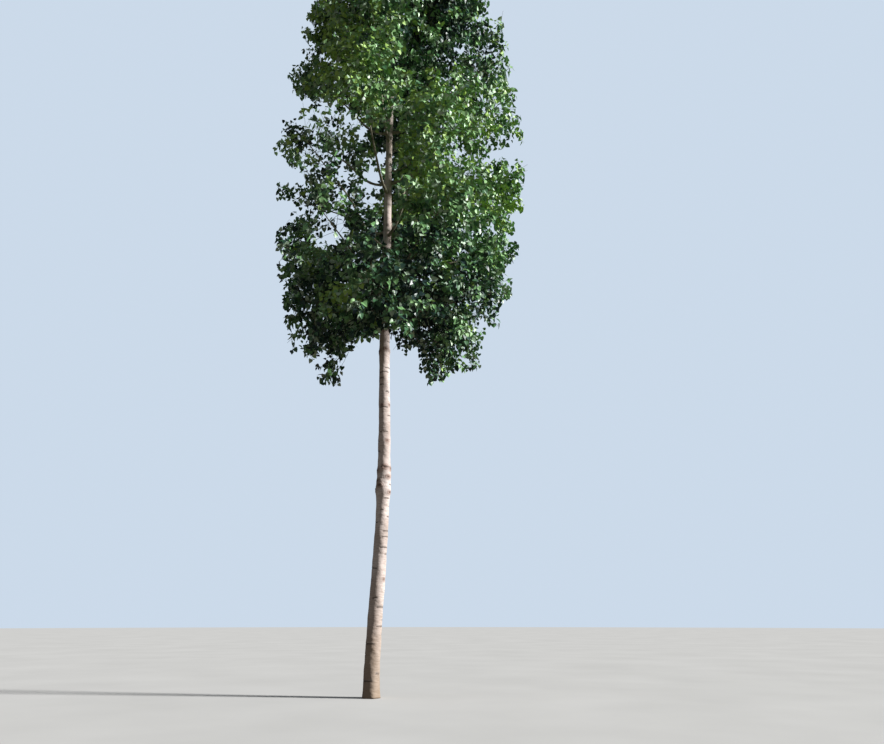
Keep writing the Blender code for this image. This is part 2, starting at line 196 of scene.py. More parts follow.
world = bpy.data.worlds.new("pale_studio")
nodes = Nodes(world)
fill = nodes.nodes["Background"]
fill.inputs["Color"].default_value = FILL
fill.inputs["Strength"].default_value = FILL_STRENGTH
backdrop = nodes.add("Background", {"Color": BACKDROP})
nodes.split(fill.outputs["Background"], backdrop.outputs["Background"], "World Output")
scene.world = world
scene.view_settings.view_transform = "Standard"
print("world of strength", FILL_STRENGTH)

# %% [markdown]
# ## The floor
#
# The floor is a wide pale disc, with a faint mottle so that it isn't one flat tone. A pale
# floor would light the tree from below far more than earth and grass do, so it is pale to the
# eye alone and sends less light on to the tree, a little warmer.

# %% Floor
FLOOR_RADIUS = 150.0
FLOOR_SIDES = 128
FLOOR_DROP = 0.002
FLOOR_TONES = ((0.3, (0.54, 0.54, 0.53)), (0.7, (0.59, 0.59, 0.58)))
FLOOR_BOUNCE = (0.165, 0.145, 0.115, 1.0)

shape = bmesh.new()
bmesh.ops.create_circle(shape, cap_ends=True, segments=FLOOR_SIDES, radius=FLOOR_RADIUS)
bmesh.ops.translate(shape, verts=shape.verts, vec=(0.0, 0.0, -FLOOR_DROP))
floor_mesh = bpy.data.meshes.new("studio_floor")
shape.to_mesh(floor_mesh)
shape.free()
floor = bpy.data.objects.new("studio_floor", floor_mesh)
scene.collection.objects.link(floor)
floor_finish, nodes = new_finish("pale_floor", 1.0, 0.0)
mottle = nodes.ramp(nodes.noise(0.35, 4.0), *FLOOR_TONES)
nodes.links.new(mottle, nodes.shader.inputs["Base Color"])
bounce = nodes.add("BsdfDiffuse", {"Color": FLOOR_BOUNCE})
nodes.split(bounce.outputs["BSDF"], nodes.shader.outputs["BSDF"], "Material Output")
floor_mesh.materials.append(floor_finish)
print("floor of", FLOOR_RADIUS, "m radius")

# %% [markdown]
# ## The tree's own rule
#
# The source of the solids grows the tree from a few named values: how the trunk tapers and
# sways, how far the crown reaches, and where every bough starts and ends. They are written
# again here, so that every limb below lies exactly in the solid that it stands for.

# %% The trunk as the source has it
TRUNK_TOP = 20.2
BUTT_RADIUS = 0.163
TAPER_END = 21.4
TAPER_POWER = 0.7
FLARE = 0.16
FLARE_HEIGHT = 0.22
FLARE_LOBES = 5
LOBE_SHARE = 0.35
SWAY_ACROSS = ((0.0, 0.0), (4.4, 0.14), (8.8, 0.06), (13.6, 0.03), (18.0, 0.12), (21.0, 0.14))
SWAY_DEPTH = ((0.0, 0.0), (5.5, -0.05), (12.0, 0.05), (21.0, -0.04))
BREAST_HEIGHT = 1.3


def eased(stations, heights):
    """The offset at each height, eased from one station to the next."""
    lows, offsets = np.array(stations).T
    heights = np.clip(heights, lows[0], lows[-1])
    index = np.clip(np.searchsorted(lows, heights) - 1, 0, len(lows) - 2)
    share = (heights - lows[index]) / (lows[index + 1] - lows[index])
    rise = (1.0 - np.cos(math.pi * share)) / 2.0
    return offsets[index] + (offsets[index + 1] - offsets[index]) * rise


def trunk_centres(heights):
    heights = np.asarray(heights, float)
    return np.stack([eased(SWAY_ACROSS, heights), eased(SWAY_DEPTH, heights), heights], axis=-1)


def trunk_radii(heights, bearings):
    taper = np.clip(1.0 - heights / TAPER_END, 0.0, 1.0) ** TAPER_POWER
    lobes = 1.0 + LOBE_SHARE * np.cos(FLARE_LOBES * bearings)
    return BUTT_RADIUS * taper * (1.0 + FLARE * lobes * np.exp(-heights / FLARE_HEIGHT))


print("radius at breast height:", round(float(trunk_radii(BREAST_HEIGHT, 0.0)), 3), "m")

# %% [markdown]
# ## The crown's outline
#
# A plantation poplar's crown is an oval, broadest over a third of the way up and a little
# fuller on its open side. The source gives its reach at each height and bearing, and no leaf
# grows beyond it.

# %% The crown as the source has it
TREE_HEIGHT = 22.0
CROWN_FOOT = 7.15
CROWN_REACH = 3.30
CROWN_WIDEST = 0.38
CROWN_FOOT_SHARE = 0.72
CROWN_ROUND = 0.60
OPEN_SIDE = 0.10


def level(bearing):
    return np.array((math.cos(bearing), math.sin(bearing), 0.0))


def crown_radii(heights, bearings):
    """How far the crown reaches from the trunk's middle at these heights and bearings."""
    share = (heights - CROWN_FOOT) / (TREE_HEIGHT - CROWN_FOOT)
    rise = np.sin(math.pi / 2.0 * np.clip(share / CROWN_WIDEST, 0.0, 1.0))
    low = CROWN_FOOT_SHARE + (1.0 - CROWN_FOOT_SHARE) * rise
    fall = np.clip((share - CROWN_WIDEST) / (1.0 - CROWN_WIDEST), 0.0, 1.0)
    high = np.maximum(np.cos(math.pi / 2.0 * fall), 0.0) ** CROWN_ROUND
    swell = np.where(share < CROWN_WIDEST, low, high)
    swell = np.where((share < 0.0) | (share > 1.0), 0.0, swell)
    return CROWN_REACH * swell * (1.0 + OPEN_SIDE * np.cos(bearings))


def crown_share(points):
    """How far out in the crown each point lies: 0 at the trunk's middle, 1 at the crown's skin."""
    out = points - trunk_centres(points[:, 2])
    bearings = np.arctan2(out[:, 1], out[:, 0])
    reach = crown_radii(points[:, 2], bearings)
    return np.hypot(out[:, 0], out[:, 1]) / np.maximum(reach, 1e-6)


widest = CROWN_FOOT + CROWN_WIDEST * (TREE_HEIGHT - CROWN_FOOT)
print("the crown reaches", round(float(crown_radii(widest, 0.0)), 2), "m where it is widest")

# %% [markdown]
# ## Boughs and shoots
#
# Each year such a tree puts out one whorl of boughs. They leave the trunk at their own
# heights and bearings and curve upward to the crown's outline. The source's table of whorls
# and its rule for a limb's curve are all that is needed to lay every limb where its solid is.

# %% Boughs and shoots as the source has them
WHORLS = (
    (8.10, 8.45, 5, 267.0),
    (8.95, 10.25, 5, 234.0),
    (10.40, 12.00, 5, 226.0),
    (12.00, 13.80, 4, 255.0),
    (13.60, 15.50, 4, 262.0),
)
FOOT_STEP = 0.16
FOOT_ORDER = 2
BOUGH_TIP = 0.46
BOUGH_CLIMB = 0.62
STEM_TIP = 0.90
STEM_CLIMB = 1.25
BOUGH_THICKNESS = 0.0105
BOUGH_END_RADIUS = 0.0230
COLLAR = 0.035
UPPER_SHOOTS = (
    (15.80, 17.20, 3, 195.0),
    (17.30, 18.60, 3, 255.0),
    (18.70, 19.90, 2, 150.0),
)
INNER_SHOOTS = ((9.75, 342.0), (11.20, 58.0), (12.70, 350.0), (14.60, 118.0))
INNER_RISE = 0.55
INNER_REACH = 1.05
STEM_RADIUS = 0.020
STEM_UPTURN = 0.2
TOP_FIT = 0.9
SOLID_LEAF = 0.80
LEADER_LEAF_SHARE = 0.9
UP = np.array((0.0, 0.0, 1.0))
FULL_TURN = 2.0 * math.pi


def spread_round(count, first):
    """The index and bearing of each of count shoots round the trunk. first is in degrees."""
    for index in range(count):
        yield index, math.radians(first) + FULL_TURN * index / count


def unit(vectors):
    vectors = np.asarray(vectors, float)
    return vectors / np.maximum(np.linalg.norm(vectors, axis=-1, keepdims=True), 1e-12)


def crown_point(foot, mass_height, bearing, climb, share):
    """A point at a share of the climb from foot to mass, and a share of the crown's radius."""
    height = foot + (mass_height - foot) * climb
    return trunk_centres(height) + level(bearing) * float(crown_radii(height, bearing)) * share


def sweep(start, heading, end, end_heading, count):
    """A limb's route: a short straight stub, then a curve that arrives along end_heading."""
    collar = start + heading * COLLAR
    pull = np.linalg.norm(end - collar) / 3.0
    t = np.linspace(0.0, 1.0, count - 1)[:, None]
    curve = (
        collar * (1.0 - t) ** 3
        + (collar + heading * pull) * (3.0 * t * (1.0 - t) ** 2)
        + (end - end_heading * pull) * (3.0 * t * t * (1.0 - t))
        + end * t ** 3
    )
    return np.vstack([start, curve])


def plan_crown():
    """Every shoot from the trunk: its name, bearing, foot height, bough tip or None, and end."""
    plan = []
    for whorl, (foot, mass, count, first) in enumerate(WHORLS, 1):
        for index, bearing in spread_round(count, first):
            lift = FOOT_STEP * (index * FOOT_ORDER % count)
            low, high = foot + lift, mass + lift / 2.0
            tip = crown_point(low, high, bearing, BOUGH_CLIMB, BOUGH_TIP)
            end = crown_point(low, high, bearing, STEM_CLIMB, STEM_TIP)
            plan.append((f"{whorl}_{index + 1}", bearing, low, tip, end))
    for tier, (foot, mass, count, first) in enumerate(UPPER_SHOOTS, 1):
        for index, bearing in spread_round(count, first):
            lift = FOOT_STEP * index
            end = crown_point(foot + lift, mass + lift, bearing, STEM_CLIMB, STEM_TIP)
            plan.append((f"upper_{tier}_{index + 1}", bearing, foot + lift, None, end))
    for index, (foot, degrees) in enumerate(INNER_SHOOTS, 1):
        bearing = math.radians(degrees)
        end = trunk_centres(foot + INNER_RISE) + level(bearing) * INNER_REACH
        plan.append((f"inner_{index}", bearing, foot, None, end))
    return plan


print(len(plan_crown()), "shoots leave the trunk")

# %% [markdown]
# ## The limbs' routes
#
# A bough and the stem of the mass on it are one limb, so the stem starts at the bough's tip
# and in its direction. The short shoots have a stem alone. Each route is a row of points,
# which is easier to measure along than a curve object.

# %% Routes of the limbs
BOUGH_SAMPLES = 22
STEM_SAMPLES = 16


def stem_route(start, heading, end, count=STEM_SAMPLES):
    onward = unit(unit(end - start) + UP * STEM_UPTURN)
    return sweep(start, heading, end, onward, count)


limbs = []
for name, bearing, foot, tip, end in plan_crown():
    out = level(bearing)
    start = trunk_centres(foot) + out * float(trunk_radii(foot, bearing))
    limb = {"name": name, "bearing": bearing, "foot": foot, "start": start, "bough": None}
    if tip is None:
        limb["stem"] = stem_route(start, out, end)
    else:
        onward = unit(end - tip)
        limb["bough"] = sweep(start, out, tip, onward, BOUGH_SAMPLES)
        limb["stem"] = stem_route(tip, onward, end)
        reach = np.linalg.norm(tip - trunk_centres(foot)) + np.linalg.norm(end - tip)
        limb["foot_radius"] = BOUGH_THICKNESS * reach
    limbs.append(limb)
leader_end = trunk_centres(TREE_HEIGHT) - UP * SOLID_LEAF * LEADER_LEAF_SHARE
limbs.append({
    "name": "leader", "bearing": 0.0, "foot": TRUNK_TOP, "start": trunk_centres(TRUNK_TOP),
    "bough": None, "stem": stem_route(trunk_centres(TRUNK_TOP), UP, leader_end),
})
print(len(limbs), "limbs, the longest", round(max(
    float(np.linalg.norm(limb["stem"][-1] - limb["start"])) for limb in limbs), 2), "m")

# %% [markdown]
# ## The trunk's bark
#
# A young poplar's bark is smooth, pale and a little pink. Every hand or two a thin dark
# crease runs part of the way round, often with a small eye at one end. Where a whorl was
# pruned away the stem swells and carries brown wrinkled knobs, each with a healed eye. They
# show in the outline and catch the side light, so they are real relief and not paint: a grid
# is rolled round the stem, and its points are moved out or in by the bark's own shape.

# %% Creases and knobs
BARK_SEED = 7
CREASE_FIRST = 0.32
CREASE_STEP = (0.09, 0.24)
CREASE_TOP = 15.0
CREASE_HALF_ARC = (0.35, 1.15)
CREASE_DEPTH = (0.0030, 0.0065)
CREASE_EYES = (-0.85, 0.0, 0.85)
KNOB_TURN = 0.35
KNOB_RISE = 0.10
KNOB_STAND = (0.75, 1.15)
KNOB_SIZE = (0.8, 1.2)
# Pruned whorls: height, knobs round the stem, the first one's bearing in degrees, how far they
# stand out, their size, and the swelling of the stem
OLD_WHORLS = (
    (2.25, 3, 200.0, 0.004, 0.050, 0.012),
    (4.24, 5, 240.0, 0.023, 0.092, 0.125),
    (4.46, 4, 222.0, 0.015, 0.078, 0.060),
    (4.72, 4, 284.0, 0.015, 0.084, 0.060),
    (5.30, 2, 300.0, 0.004, 0.050, 0.070),
    (6.15, 4, 248.0, 0.008, 0.060, 0.030),
    (7.55, 5, 285.0, 0.014, 0.070, 0.050),
)

bark_rng = np.random.default_rng(BARK_SEED)


def make_creases():
    """Rows of height, bearing of the middle, half arc, depth, and bearing of the eye."""
    creases = []
    height = CREASE_FIRST
    while height < CREASE_TOP:
        middle = bark_rng.uniform(0.0, FULL_TURN)
        half_arc = bark_rng.uniform(*CREASE_HALF_ARC)
        eye = middle + half_arc * bark_rng.choice(CREASE_EYES)
        creases.append((height, middle, half_arc, bark_rng.uniform(*CREASE_DEPTH), eye))
        height += bark_rng.uniform(*CREASE_STEP)
    return np.array(creases)


def make_knobs():
    """Rows of height, bearing, how far it stands out, and size."""
    knobs = []
    for height, count, first, stand, size, _ in OLD_WHORLS:
        for index, bearing in spread_round(count, first):
            if index:
                bearing += bark_rng.uniform(-KNOB_TURN, KNOB_TURN)
            rise = height + bark_rng.uniform(-KNOB_RISE, KNOB_RISE)
            stands = stand * bark_rng.uniform(*KNOB_STAND)
            knobs.append((rise, bearing, stands, size * bark_rng.uniform(*KNOB_SIZE)))
    return np.array(knobs)


creases = make_creases()
knobs = make_knobs()
print(len(creases), "creases and", len(knobs), "knobs on the trunk")

# %% [markdown]
# ## Rings where they are needed
#
# The grid's rings lie a few centimetres apart, and much closer at knobs and creases, which
# are only millimetres high. An even grid as fine as that would need several times the faces.

# %% The rings of the trunk
BARK_SIDES = 96
LOW_RING = 0.034
HIGH_RING = 0.07
CROWN_START = 9.4
KNOB_RING = 0.009
KNOB_ZONE = 0.26
KNOB_SEEN = 0.006
NEAR_CREASE = (-0.014, -0.005, 0.0, 0.005, 0.014)
CREASE_ZONE = NEAR_CREASE[-1] * 1.5
LEAST_RING = 0.003


def bark_rings():
    heights = [
        *np.arange(0.0, CROWN_START, LOW_RING), *np.arange(CROWN_START, TRUNK_TOP, HIGH_RING),
    ]
    for height, _, _, stand, *_ in OLD_WHORLS:
        if stand > KNOB_SEEN:
            low, high = height - KNOB_ZONE, height + KNOB_ZONE
            heights = [h for h in heights if not low < h < high]
            heights.extend(np.arange(low, high, KNOB_RING))
    for height in creases[:, 0]:
        if height < CROWN_START:
            heights = [h for h in heights if abs(h - height) > CREASE_ZONE]
            heights.extend(height + offset for offset in NEAR_CREASE)
    heights = [h for h in sorted(heights) if 0.0 <= h < TRUNK_TOP - LEAST_RING]
    kept = [heights[0]]
    for height in heights[1:]:
        if height - kept[-1] >= LEAST_RING:
            kept.append(height)
    return np.array(kept + [TRUNK_TOP])


rings = bark_rings()
print(len(rings), "rings of", BARK_SIDES, "points")

# %% [markdown]
# ## The relief
#
# The stem's girth wavers slowly, each crease is a groove with a lip above it and an eye, and
# each knob is a bump with folds round a healed eye. Every bough gets a low collar. All are
# sums of smooth bumps. Each also raises a mask, which later tells the paint where it lies.

# %% Relief
MASKS = ("crease", "knob", "lip")
WAVES_START = 0.4
CREASE_NEAR = 0.06
CREASE_WIDTH = 0.0125
CREASE_BEND = 0.006
CREASE_FADE = 0.22
LIP_RISE = 0.013
LIP_WIDTH = 0.007
LIP_STAND = 0.6
EYE_SIZE = 0.021
EYE_FLAT = 0.8
EYE_DEPTH = 0.003
SWELL_HEIGHT = 0.28
BUMP_NEAR = 3.0
KNOB_FLAT = 1.3
KNOB_FOLDS = 11.0
FOLD_BEND = (1.1, 2.6)
FOLD_STAND = 0.26
FOLDS_BELOW = 0.6
# The healed eye of a knob, in shares of the knob's size and stand
SCAR_WIDTH = 0.34
SCAR_HEIGHT = 0.18
SCAR_DROP = 0.05
SCAR_DEPTH = 0.85
COLLAR_SIZE = 2.1
COLLAR_TALL = 0.8
COLLAR_STAND = 0.45
COLLAR_BROWN = 0.5


def smooth_step(low, high, values):
    t = np.clip((values - low) / (high - low), 0.0, 1.0)
    return t * t * (3.0 - 2.0 * t)


class Bark:
    """The stem's radius, its relief and its masks at the points of a grid."""

    def __init__(self, heights, bearings):
        self.heights = heights
        self.bearings = bearings
        self.radius = trunk_radii(heights, bearings)
        self.relief = self.radius * (
            0.012 * np.sin(heights * 2.1 + 1.3 + np.cos(bearings))
            + 0.012 * np.sin(bearings * 2.0 + heights * 0.9)
            + 0.017 * np.sin(bearings * 3.0 - heights * 5.3 + 0.8)
            + 0.013 * np.sin(bearings * 4.0 + heights * 11.7 + 2.1)
            + 0.009 * np.sin(bearings * 2.0 - heights * 23.0 + 0.4 + np.sin(heights * 3.1))
        ) * smooth_step(0.0, WAVES_START, heights)
        self.masks = {name: np.zeros_like(heights) for name in MASKS}

    def around(self, height, bearing, reach):
        """The points within reach of a height, how far up they lie, and how far round."""
        near = np.abs(self.heights - height) < reach
        turn = (self.bearings[near] - bearing + math.pi) % FULL_TURN - math.pi
        return near, self.heights[near] - height, turn

    def raise_mask(self, name, near, values):
        self.masks[name][near] = np.maximum(self.masks[name][near], values)

    def add_crease(self, height, middle, half_arc, depth, eye):
        near, away, arc = self.around(height, middle, CREASE_NEAR)
        bend = CREASE_BEND * np.cos(arc / half_arc * math.pi / 2.0)
        along = smooth_step(0.0, CREASE_FADE, half_arc - np.abs(arc))
        line = np.exp(-((away - bend) / CREASE_WIDTH) ** 2) * along
        lip = np.exp(-((away - bend - LIP_RISE) / LIP_WIDTH) ** 2) * along
        across = self.around(height, eye, CREASE_NEAR)[2] * self.radius[near]
        spot = np.exp(-((across / EYE_SIZE) ** 2 + (away / (EYE_SIZE * EYE_FLAT)) ** 2))
        self.relief[near] += lip * depth * LIP_STAND - line * depth - spot * EYE_DEPTH
        self.raise_mask("crease", near, np.maximum(line, spot))
        # The lip's mask carries a painted highlight along the raised lip
        self.raise_mask("lip", near, lip)

    def add_knob(self, height, bearing, stand, size):
        near, away, turn = self.around(height, bearing, size * BUMP_NEAR)
        across = turn * self.radius[near] / size
        away = away / size
        distance = np.hypot(across, away * KNOB_FLAT)
        bump = np.exp(-distance ** 2)
        bend = FOLD_BEND[0] * np.sin(across * FOLD_BEND[1] + bearing)
        folds = np.cos(distance * KNOB_FOLDS + bend) * bump
        folds *= np.where(away > 0.0, 1.0, FOLDS_BELOW)
        eye = np.exp(-((across / SCAR_WIDTH) ** 2 + ((away + SCAR_DROP) / SCAR_HEIGHT) ** 2))
        self.relief[near] += stand * (bump + FOLD_STAND * folds - SCAR_DEPTH * eye)
        self.raise_mask("knob", near, bump * (0.9 + 0.4 * folds))
        # Besides the knob's dark eye, the grooves of its folds get the creases' dark paint as
        # painted shade
        self.raise_mask("crease", near, np.maximum(eye, np.clip(-0.8 * folds, 0.0, 1.0)))

    def add_collar(self, limb):
        size = limb["foot_radius"] * COLLAR_SIZE
        near, away, turn = self.around(limb["foot"], limb["bearing"], size * BUMP_NEAR)
        across = turn * self.radius[near]
        bump = np.exp(-(across ** 2 + (away * COLLAR_TALL) ** 2) / size ** 2)
        self.relief[near] += bump * limb["foot_radius"] * COLLAR_STAND
        self.raise_mask("knob", near, bump * COLLAR_BROWN)


# %% [markdown]
# ## The look of the bark
#
# The colour starts from a warm cream with a few wide, faint patches. Towards the ground it
# is painted darker and browner, a painted shade near the ground, and it turns olive up in the
# crown, where the bark is younger. Fine level lines come from a noise squeezed along the
# height. Creases and knobs come from the relief's masks, so paint and relief agree; so do a
# painted highlight along the lips above the creases and painted shade in the knobs' folds.

# %% Bark material
BARK_TONES = (
    (0.30, (0.40, 0.325, 0.285)), (0.50, (0.575, 0.495, 0.460)), (0.72, (0.70, 0.63, 0.60)),
)
LINE_SHARES = ((0.34, (0.60, 0.60, 0.60)), (0.53, (0.0, 0.0, 0.0)))
LINE_PAINT = (0.29, 0.225, 0.185)
# The heights where a tint starts and is full, its share there, and its colour
HEIGHT_TINTS = (
    # The first tint is painted shade: the foot is painted darker and browner towards the ground
    (2.5, 0.0, 0.86, (0.235, 0.170, 0.108)),
    (11.0, 18.0, 0.70, (0.31, 0.30, 0.22)),
)
# Each mask of the relief, the share of its paint, and its colour
MASK_PAINTS = (
    ("knob", 0.90, (0.20, 0.105, 0.072)),
    # A painted highlight along the raised lips above the creases
    ("lip", 0.55, (0.76, 0.68, 0.62)),
    # Creases and eyes are dark of their own; in the knobs' fold grooves this paint is painted
    # shade
    ("crease", 0.95, (0.060, 0.042, 0.034)),
)

bark_finish, nodes = new_finish("pale_poplar_bark", 0.72, 0.25)
colour = nodes.ramp(nodes.noise(1.0, 5.0, (3.2, 3.2, 1.3)), *BARK_TONES)
lines = nodes.noise(1.0, 6.0, (7.0, 7.0, 80.0))
colour = nodes.mix(nodes.ramp(lines, *LINE_SHARES), colour, LINE_PAINT)
height = nodes.add("SeparateXYZ", {"Vector": nodes.place()}).outputs["Z"]
for start, full, share, paint in HEIGHT_TINTS:
    inputs = {"Value": height, "From Min": start, "From Max": full, "To Max": share}
    colour = nodes.mix(nodes.add("MapRange", inputs).outputs["Result"], colour, paint)
for mask, share, paint in MASK_PAINTS:
    spread = nodes.add("Attribute", {}, attribute_name=mask).outputs["Fac"]
    strength = nodes.add("Math", {0: spread, 1: share}, operation="MULTIPLY")
    colour = nodes.mix(strength.outputs["Value"], colour, paint)
dents = nodes.bump(nodes.noise(7.5, 2.0, (1.0, 1.0, 1.8)), 0.60, 0.030)
nodes.links.new(colour, nodes.shader.inputs["Base Color"])
nodes.links.new(nodes.bump(lines, 0.35, 0.004, Normal=dents), nodes.shader.inputs["Normal"])
print("bark tones:", len(BARK_TONES), "and paints on masks:", len(MASK_PAINTS))

# %% [markdown]
# ## Rolling the bark round the stem
#
# The flat grid's width becomes the way round the stem and its height the way up. The seam is
# merged and both ends are closed, so the trunk is one sealed skin.

# %% Roll the bark
SAME_POINT = 1e-6


def flat_grid(shape, sides, rows):
    """A flat grid in shape: its points, and the turn round the limb and the row of each."""
    grid = bmesh.ops.create_grid(shape, x_segments=sides, y_segments=rows - 1, size=0.5)
    flat = np.array([vert.co for vert in grid["verts"]]) + 0.5
    return grid["verts"], flat[:, 0] * FULL_TURN, np.rint(flat[:, 1] * (rows - 1)).astype(int)


def rolled_mesh(shape, name, finish):
    """Closes a rolled grid at its seam and ends, and turns its faces outward."""
    bmesh.ops.remove_doubles(shape, verts=shape.verts, dist=SAME_POINT)
    bmesh.ops.holes_fill(shape, edges=[edge for edge in shape.edges if edge.is_boundary])
    bmesh.ops.recalc_face_normals(shape, faces=shape.faces)
    mesh = bpy.data.meshes.new(name)
    shape.to_mesh(mesh)
    shape.free()
    mesh.materials.append(finish)
    mesh.polygons.foreach_set("use_smooth", [True] * len(mesh.polygons))
    return mesh


def place_piece(mesh, solids):
    """Makes an object of the mesh that rides on the tree in place of its solids."""
    piece = bpy.data.objects.new(mesh.name, mesh)
    scene.collection.objects.link(piece)
    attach(piece, "root")
    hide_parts(*solids)
    triangles = sum(len(face.vertices) - 2 for face in mesh.polygons)
    print(piece.name, "in place of", len(solids), "solids:", triangles, "triangles")


shape = bmesh.new()
layers = [shape.verts.layers.float.new(name) for name in MASKS]
verts, bearings, rows = flat_grid(shape, BARK_SIDES, len(rings))
heights = rings[rows]
bark = Bark(heights, bearings)
for crease in creases:
    bark.add_crease(*crease)
for height, *_, swelling in OLD_WHORLS:
    bark.relief += bark.radius * swelling * np.exp(-((heights - height) / SWELL_HEIGHT) ** 2)
for knob in knobs:
    bark.add_knob(*knob)
for limb in limbs:
    if limb["bough"] is not None:
        bark.add_collar(limb)
places = trunk_centres(heights)
places[:, 0] += np.cos(bearings) * (bark.radius + bark.relief)
places[:, 1] += np.sin(bearings) * (bark.radius + bark.relief)
for vert, place, *masks in zip(verts, places, *bark.masks.values()):
    vert.co = place
    for layer, mask in zip(layers, masks):
        vert[layer] = mask
place_piece(rolled_mesh(shape, "trunk_with_bark", bark_finish), ["trunk"])

# %% [markdown]
# ## The boughs
#
# Each bough leaves the trunk from a thick collar and thins all the way into its mass of
# foliage. A bevelled curve would do for the taper, but not for the collar and the swellings,
# so each bough is a grid rolled round its route, sunk in the trunk and closed at both ends.

# %% Frames along a route
STEEP = 0.9
RIGHT = np.array((1.0, 0.0, 0.0))


def step_lengths(routes):
    return np.linalg.norm(np.diff(routes, axis=-2), axis=-1)


def resample(route, count):
    """The same route with count points, evenly spaced along it."""
    lengths = np.concatenate([[0.0], np.cumsum(step_lengths(route))])
    marks = np.linspace(0.0, lengths[-1], count)
    return np.stack([np.interp(marks, lengths, route[:, axis]) for axis in range(3)], axis=1)


def square_to(headings):
    """Two directions square to each heading and to each other."""
    spare = np.where(np.abs(headings[..., 2:3]) < STEEP, UP, RIGHT)
    side = unit(np.cross(headings, spare))
    return side, np.cross(side, headings)


def frames_along(routes):
    """Two directions square to each route at each of its points, turning as little as can be."""
    ahead = unit(np.gradient(routes, axis=1))
    side, _ = square_to(ahead[:, 0])
    sides = [side]
    for index in range(1, routes.shape[1]):
        side = side - ahead[:, index] * np.sum(side * ahead[:, index], axis=1, keepdims=True)
        side = unit(side)
        sides.append(side)
    sides = np.stack(sides, axis=1)
    return sides, np.cross(ahead, sides)


example = limbs[0]["bough"]
print("the first bough is", round(float(step_lengths(example).sum()), 2), "m long")

# %% [markdown]
# ## Smooth young bark
#
# A bough's bark is younger than the trunk's: grey-green, faintly patched and finely pitted.
# Three tones over one noise and a fine bump are enough, as it is seen only between leaves.

# %% Bough material
BOUGH_TONES = (
    (0.32, (0.15, 0.135, 0.095)), (0.52, (0.25, 0.235, 0.17)), (0.72, (0.37, 0.345, 0.265)),
)

bough_finish, nodes = new_finish("grey_green_bough_bark", 0.78, 0.25)
colour = nodes.ramp(nodes.noise(9.0, 5.0), *BOUGH_TONES)
nodes.links.new(colour, nodes.shader.inputs["Base Color"])
pits = nodes.bump(nodes.noise(60.0, 4.0), 0.5, 0.003)
nodes.links.new(pits, nodes.shader.inputs["Normal"])
print("bough tones:", len(BOUGH_TONES))

# %% [markdown]
# ## Rolling the boughs, whorl by whorl
#
# A real bough is never quite round or even, so slow waves with a chance start swell its
# girth along the way. The boughs of one whorl are one mesh, since they wear the same bark.

# %% Make the boughs
BOUGH_SEEDS = 100
BOUGH_SIDES = 16
BOUGH_RING = 0.045
SUNK = 0.055
COLLAR_FLARE = 0.75
COLLAR_LENGTH = 0.075
INSIDE_SOLID = 0.92
FINE_END = 0.0045
# The share of each slow swelling along a bough, and how fast it comes again
BOUGH_SWELLS = ((0.05, 17.0), (0.03, 41.0))
OVAL_SHARE = 0.045
OVAL_TWIST = 3.0


def roll_bough(shape, limb, rng):
    """One bough as a rolled grid inside shape, from its sunk root to the tip of its stem."""
    inward = limb["start"] - level(limb["bearing"]) * SUNK
    route = np.vstack([inward, limb["bough"], limb["stem"][1:]])
    length = float(step_lengths(route).sum())
    count = int(length / BOUGH_RING)
    route = resample(route, count)
    distance = np.linspace(0.0, length, count)
    bough_length = float(step_lengths(limb["bough"]).sum()) + SUNK
    radius = np.interp(
        distance, [0.0, bough_length, length],
        [limb["foot_radius"], BOUGH_END_RADIUS * INSIDE_SOLID, FINE_END],
    )
    radius *= 1.0 + COLLAR_FLARE * np.exp(-distance / COLLAR_LENGTH)
    *starts, twist = rng.uniform(0.0, FULL_TURN, 3)
    girth = 1.0
    for (share, pace), start in zip(BOUGH_SWELLS, starts):
        girth = girth + share * np.sin(distance * pace + start)
    radius *= girth
    sides, ups = frames_along(route[None])
    verts, turns, rows = flat_grid(shape, BOUGH_SIDES, count)
    out = sides[0, rows] * np.cos(turns)[:, None] + ups[0, rows] * np.sin(turns)[:, None]
    oval = 1.0 + OVAL_SHARE * np.sin(2.0 * turns + distance[rows] * OVAL_TWIST + twist)
    places = route[rows] + out * radius[rows, None] * oval[:, None]
    for vert, place in zip(verts, places):
        vert.co = place


for whorl in range(1, len(WHORLS) + 1):
    rng = np.random.default_rng(BOUGH_SEEDS + whorl)
    shape = bmesh.new()
    solids = []
    for limb in limbs:
        if limb["bough"] is not None and limb["name"].startswith(f"{whorl}_"):
            roll_bough(shape, limb, rng)
            solids.append("bough_" + limb["name"])
    mesh = rolled_mesh(shape, f"boughs_of_whorl_{whorl}", bough_finish)
    place_piece(mesh, solids)

# %% [markdown]
# ## How the foliage grows
#
# In the solids each mass is a stem with a spiral of twigs and large leaves, kept to its own
# cell of the crown: the space nearer to its middle than to any other's. The same rule goes on
# here to finer wood and leaves of nearly life size. A shoot is only as long as its cell gives
# it room for, so neighbouring masses never run through each other.

# %% The cells of the crown
CELL_MARGIN = 0.006
STRIDE = 0.06
LEAVES_PROUD = 0.12

box_low, box_high = np.array(cad_low) - LEAVES_PROUD, np.array(cad_high) + LEAVES_PROUD


def middle_of(limb):
    """The middle between a stem's foot, past its straight stub, and its tip."""
    foot = limb["stem"][1]
    if limb["bough"] is None:
        foot = limb["start"] + level(limb["bearing"]) * COLLAR
    return (foot + limb["stem"][-1]) / 2.0


middles = np.array([middle_of(limb) for limb in limbs])
print("cells in the crown:", len(middles))


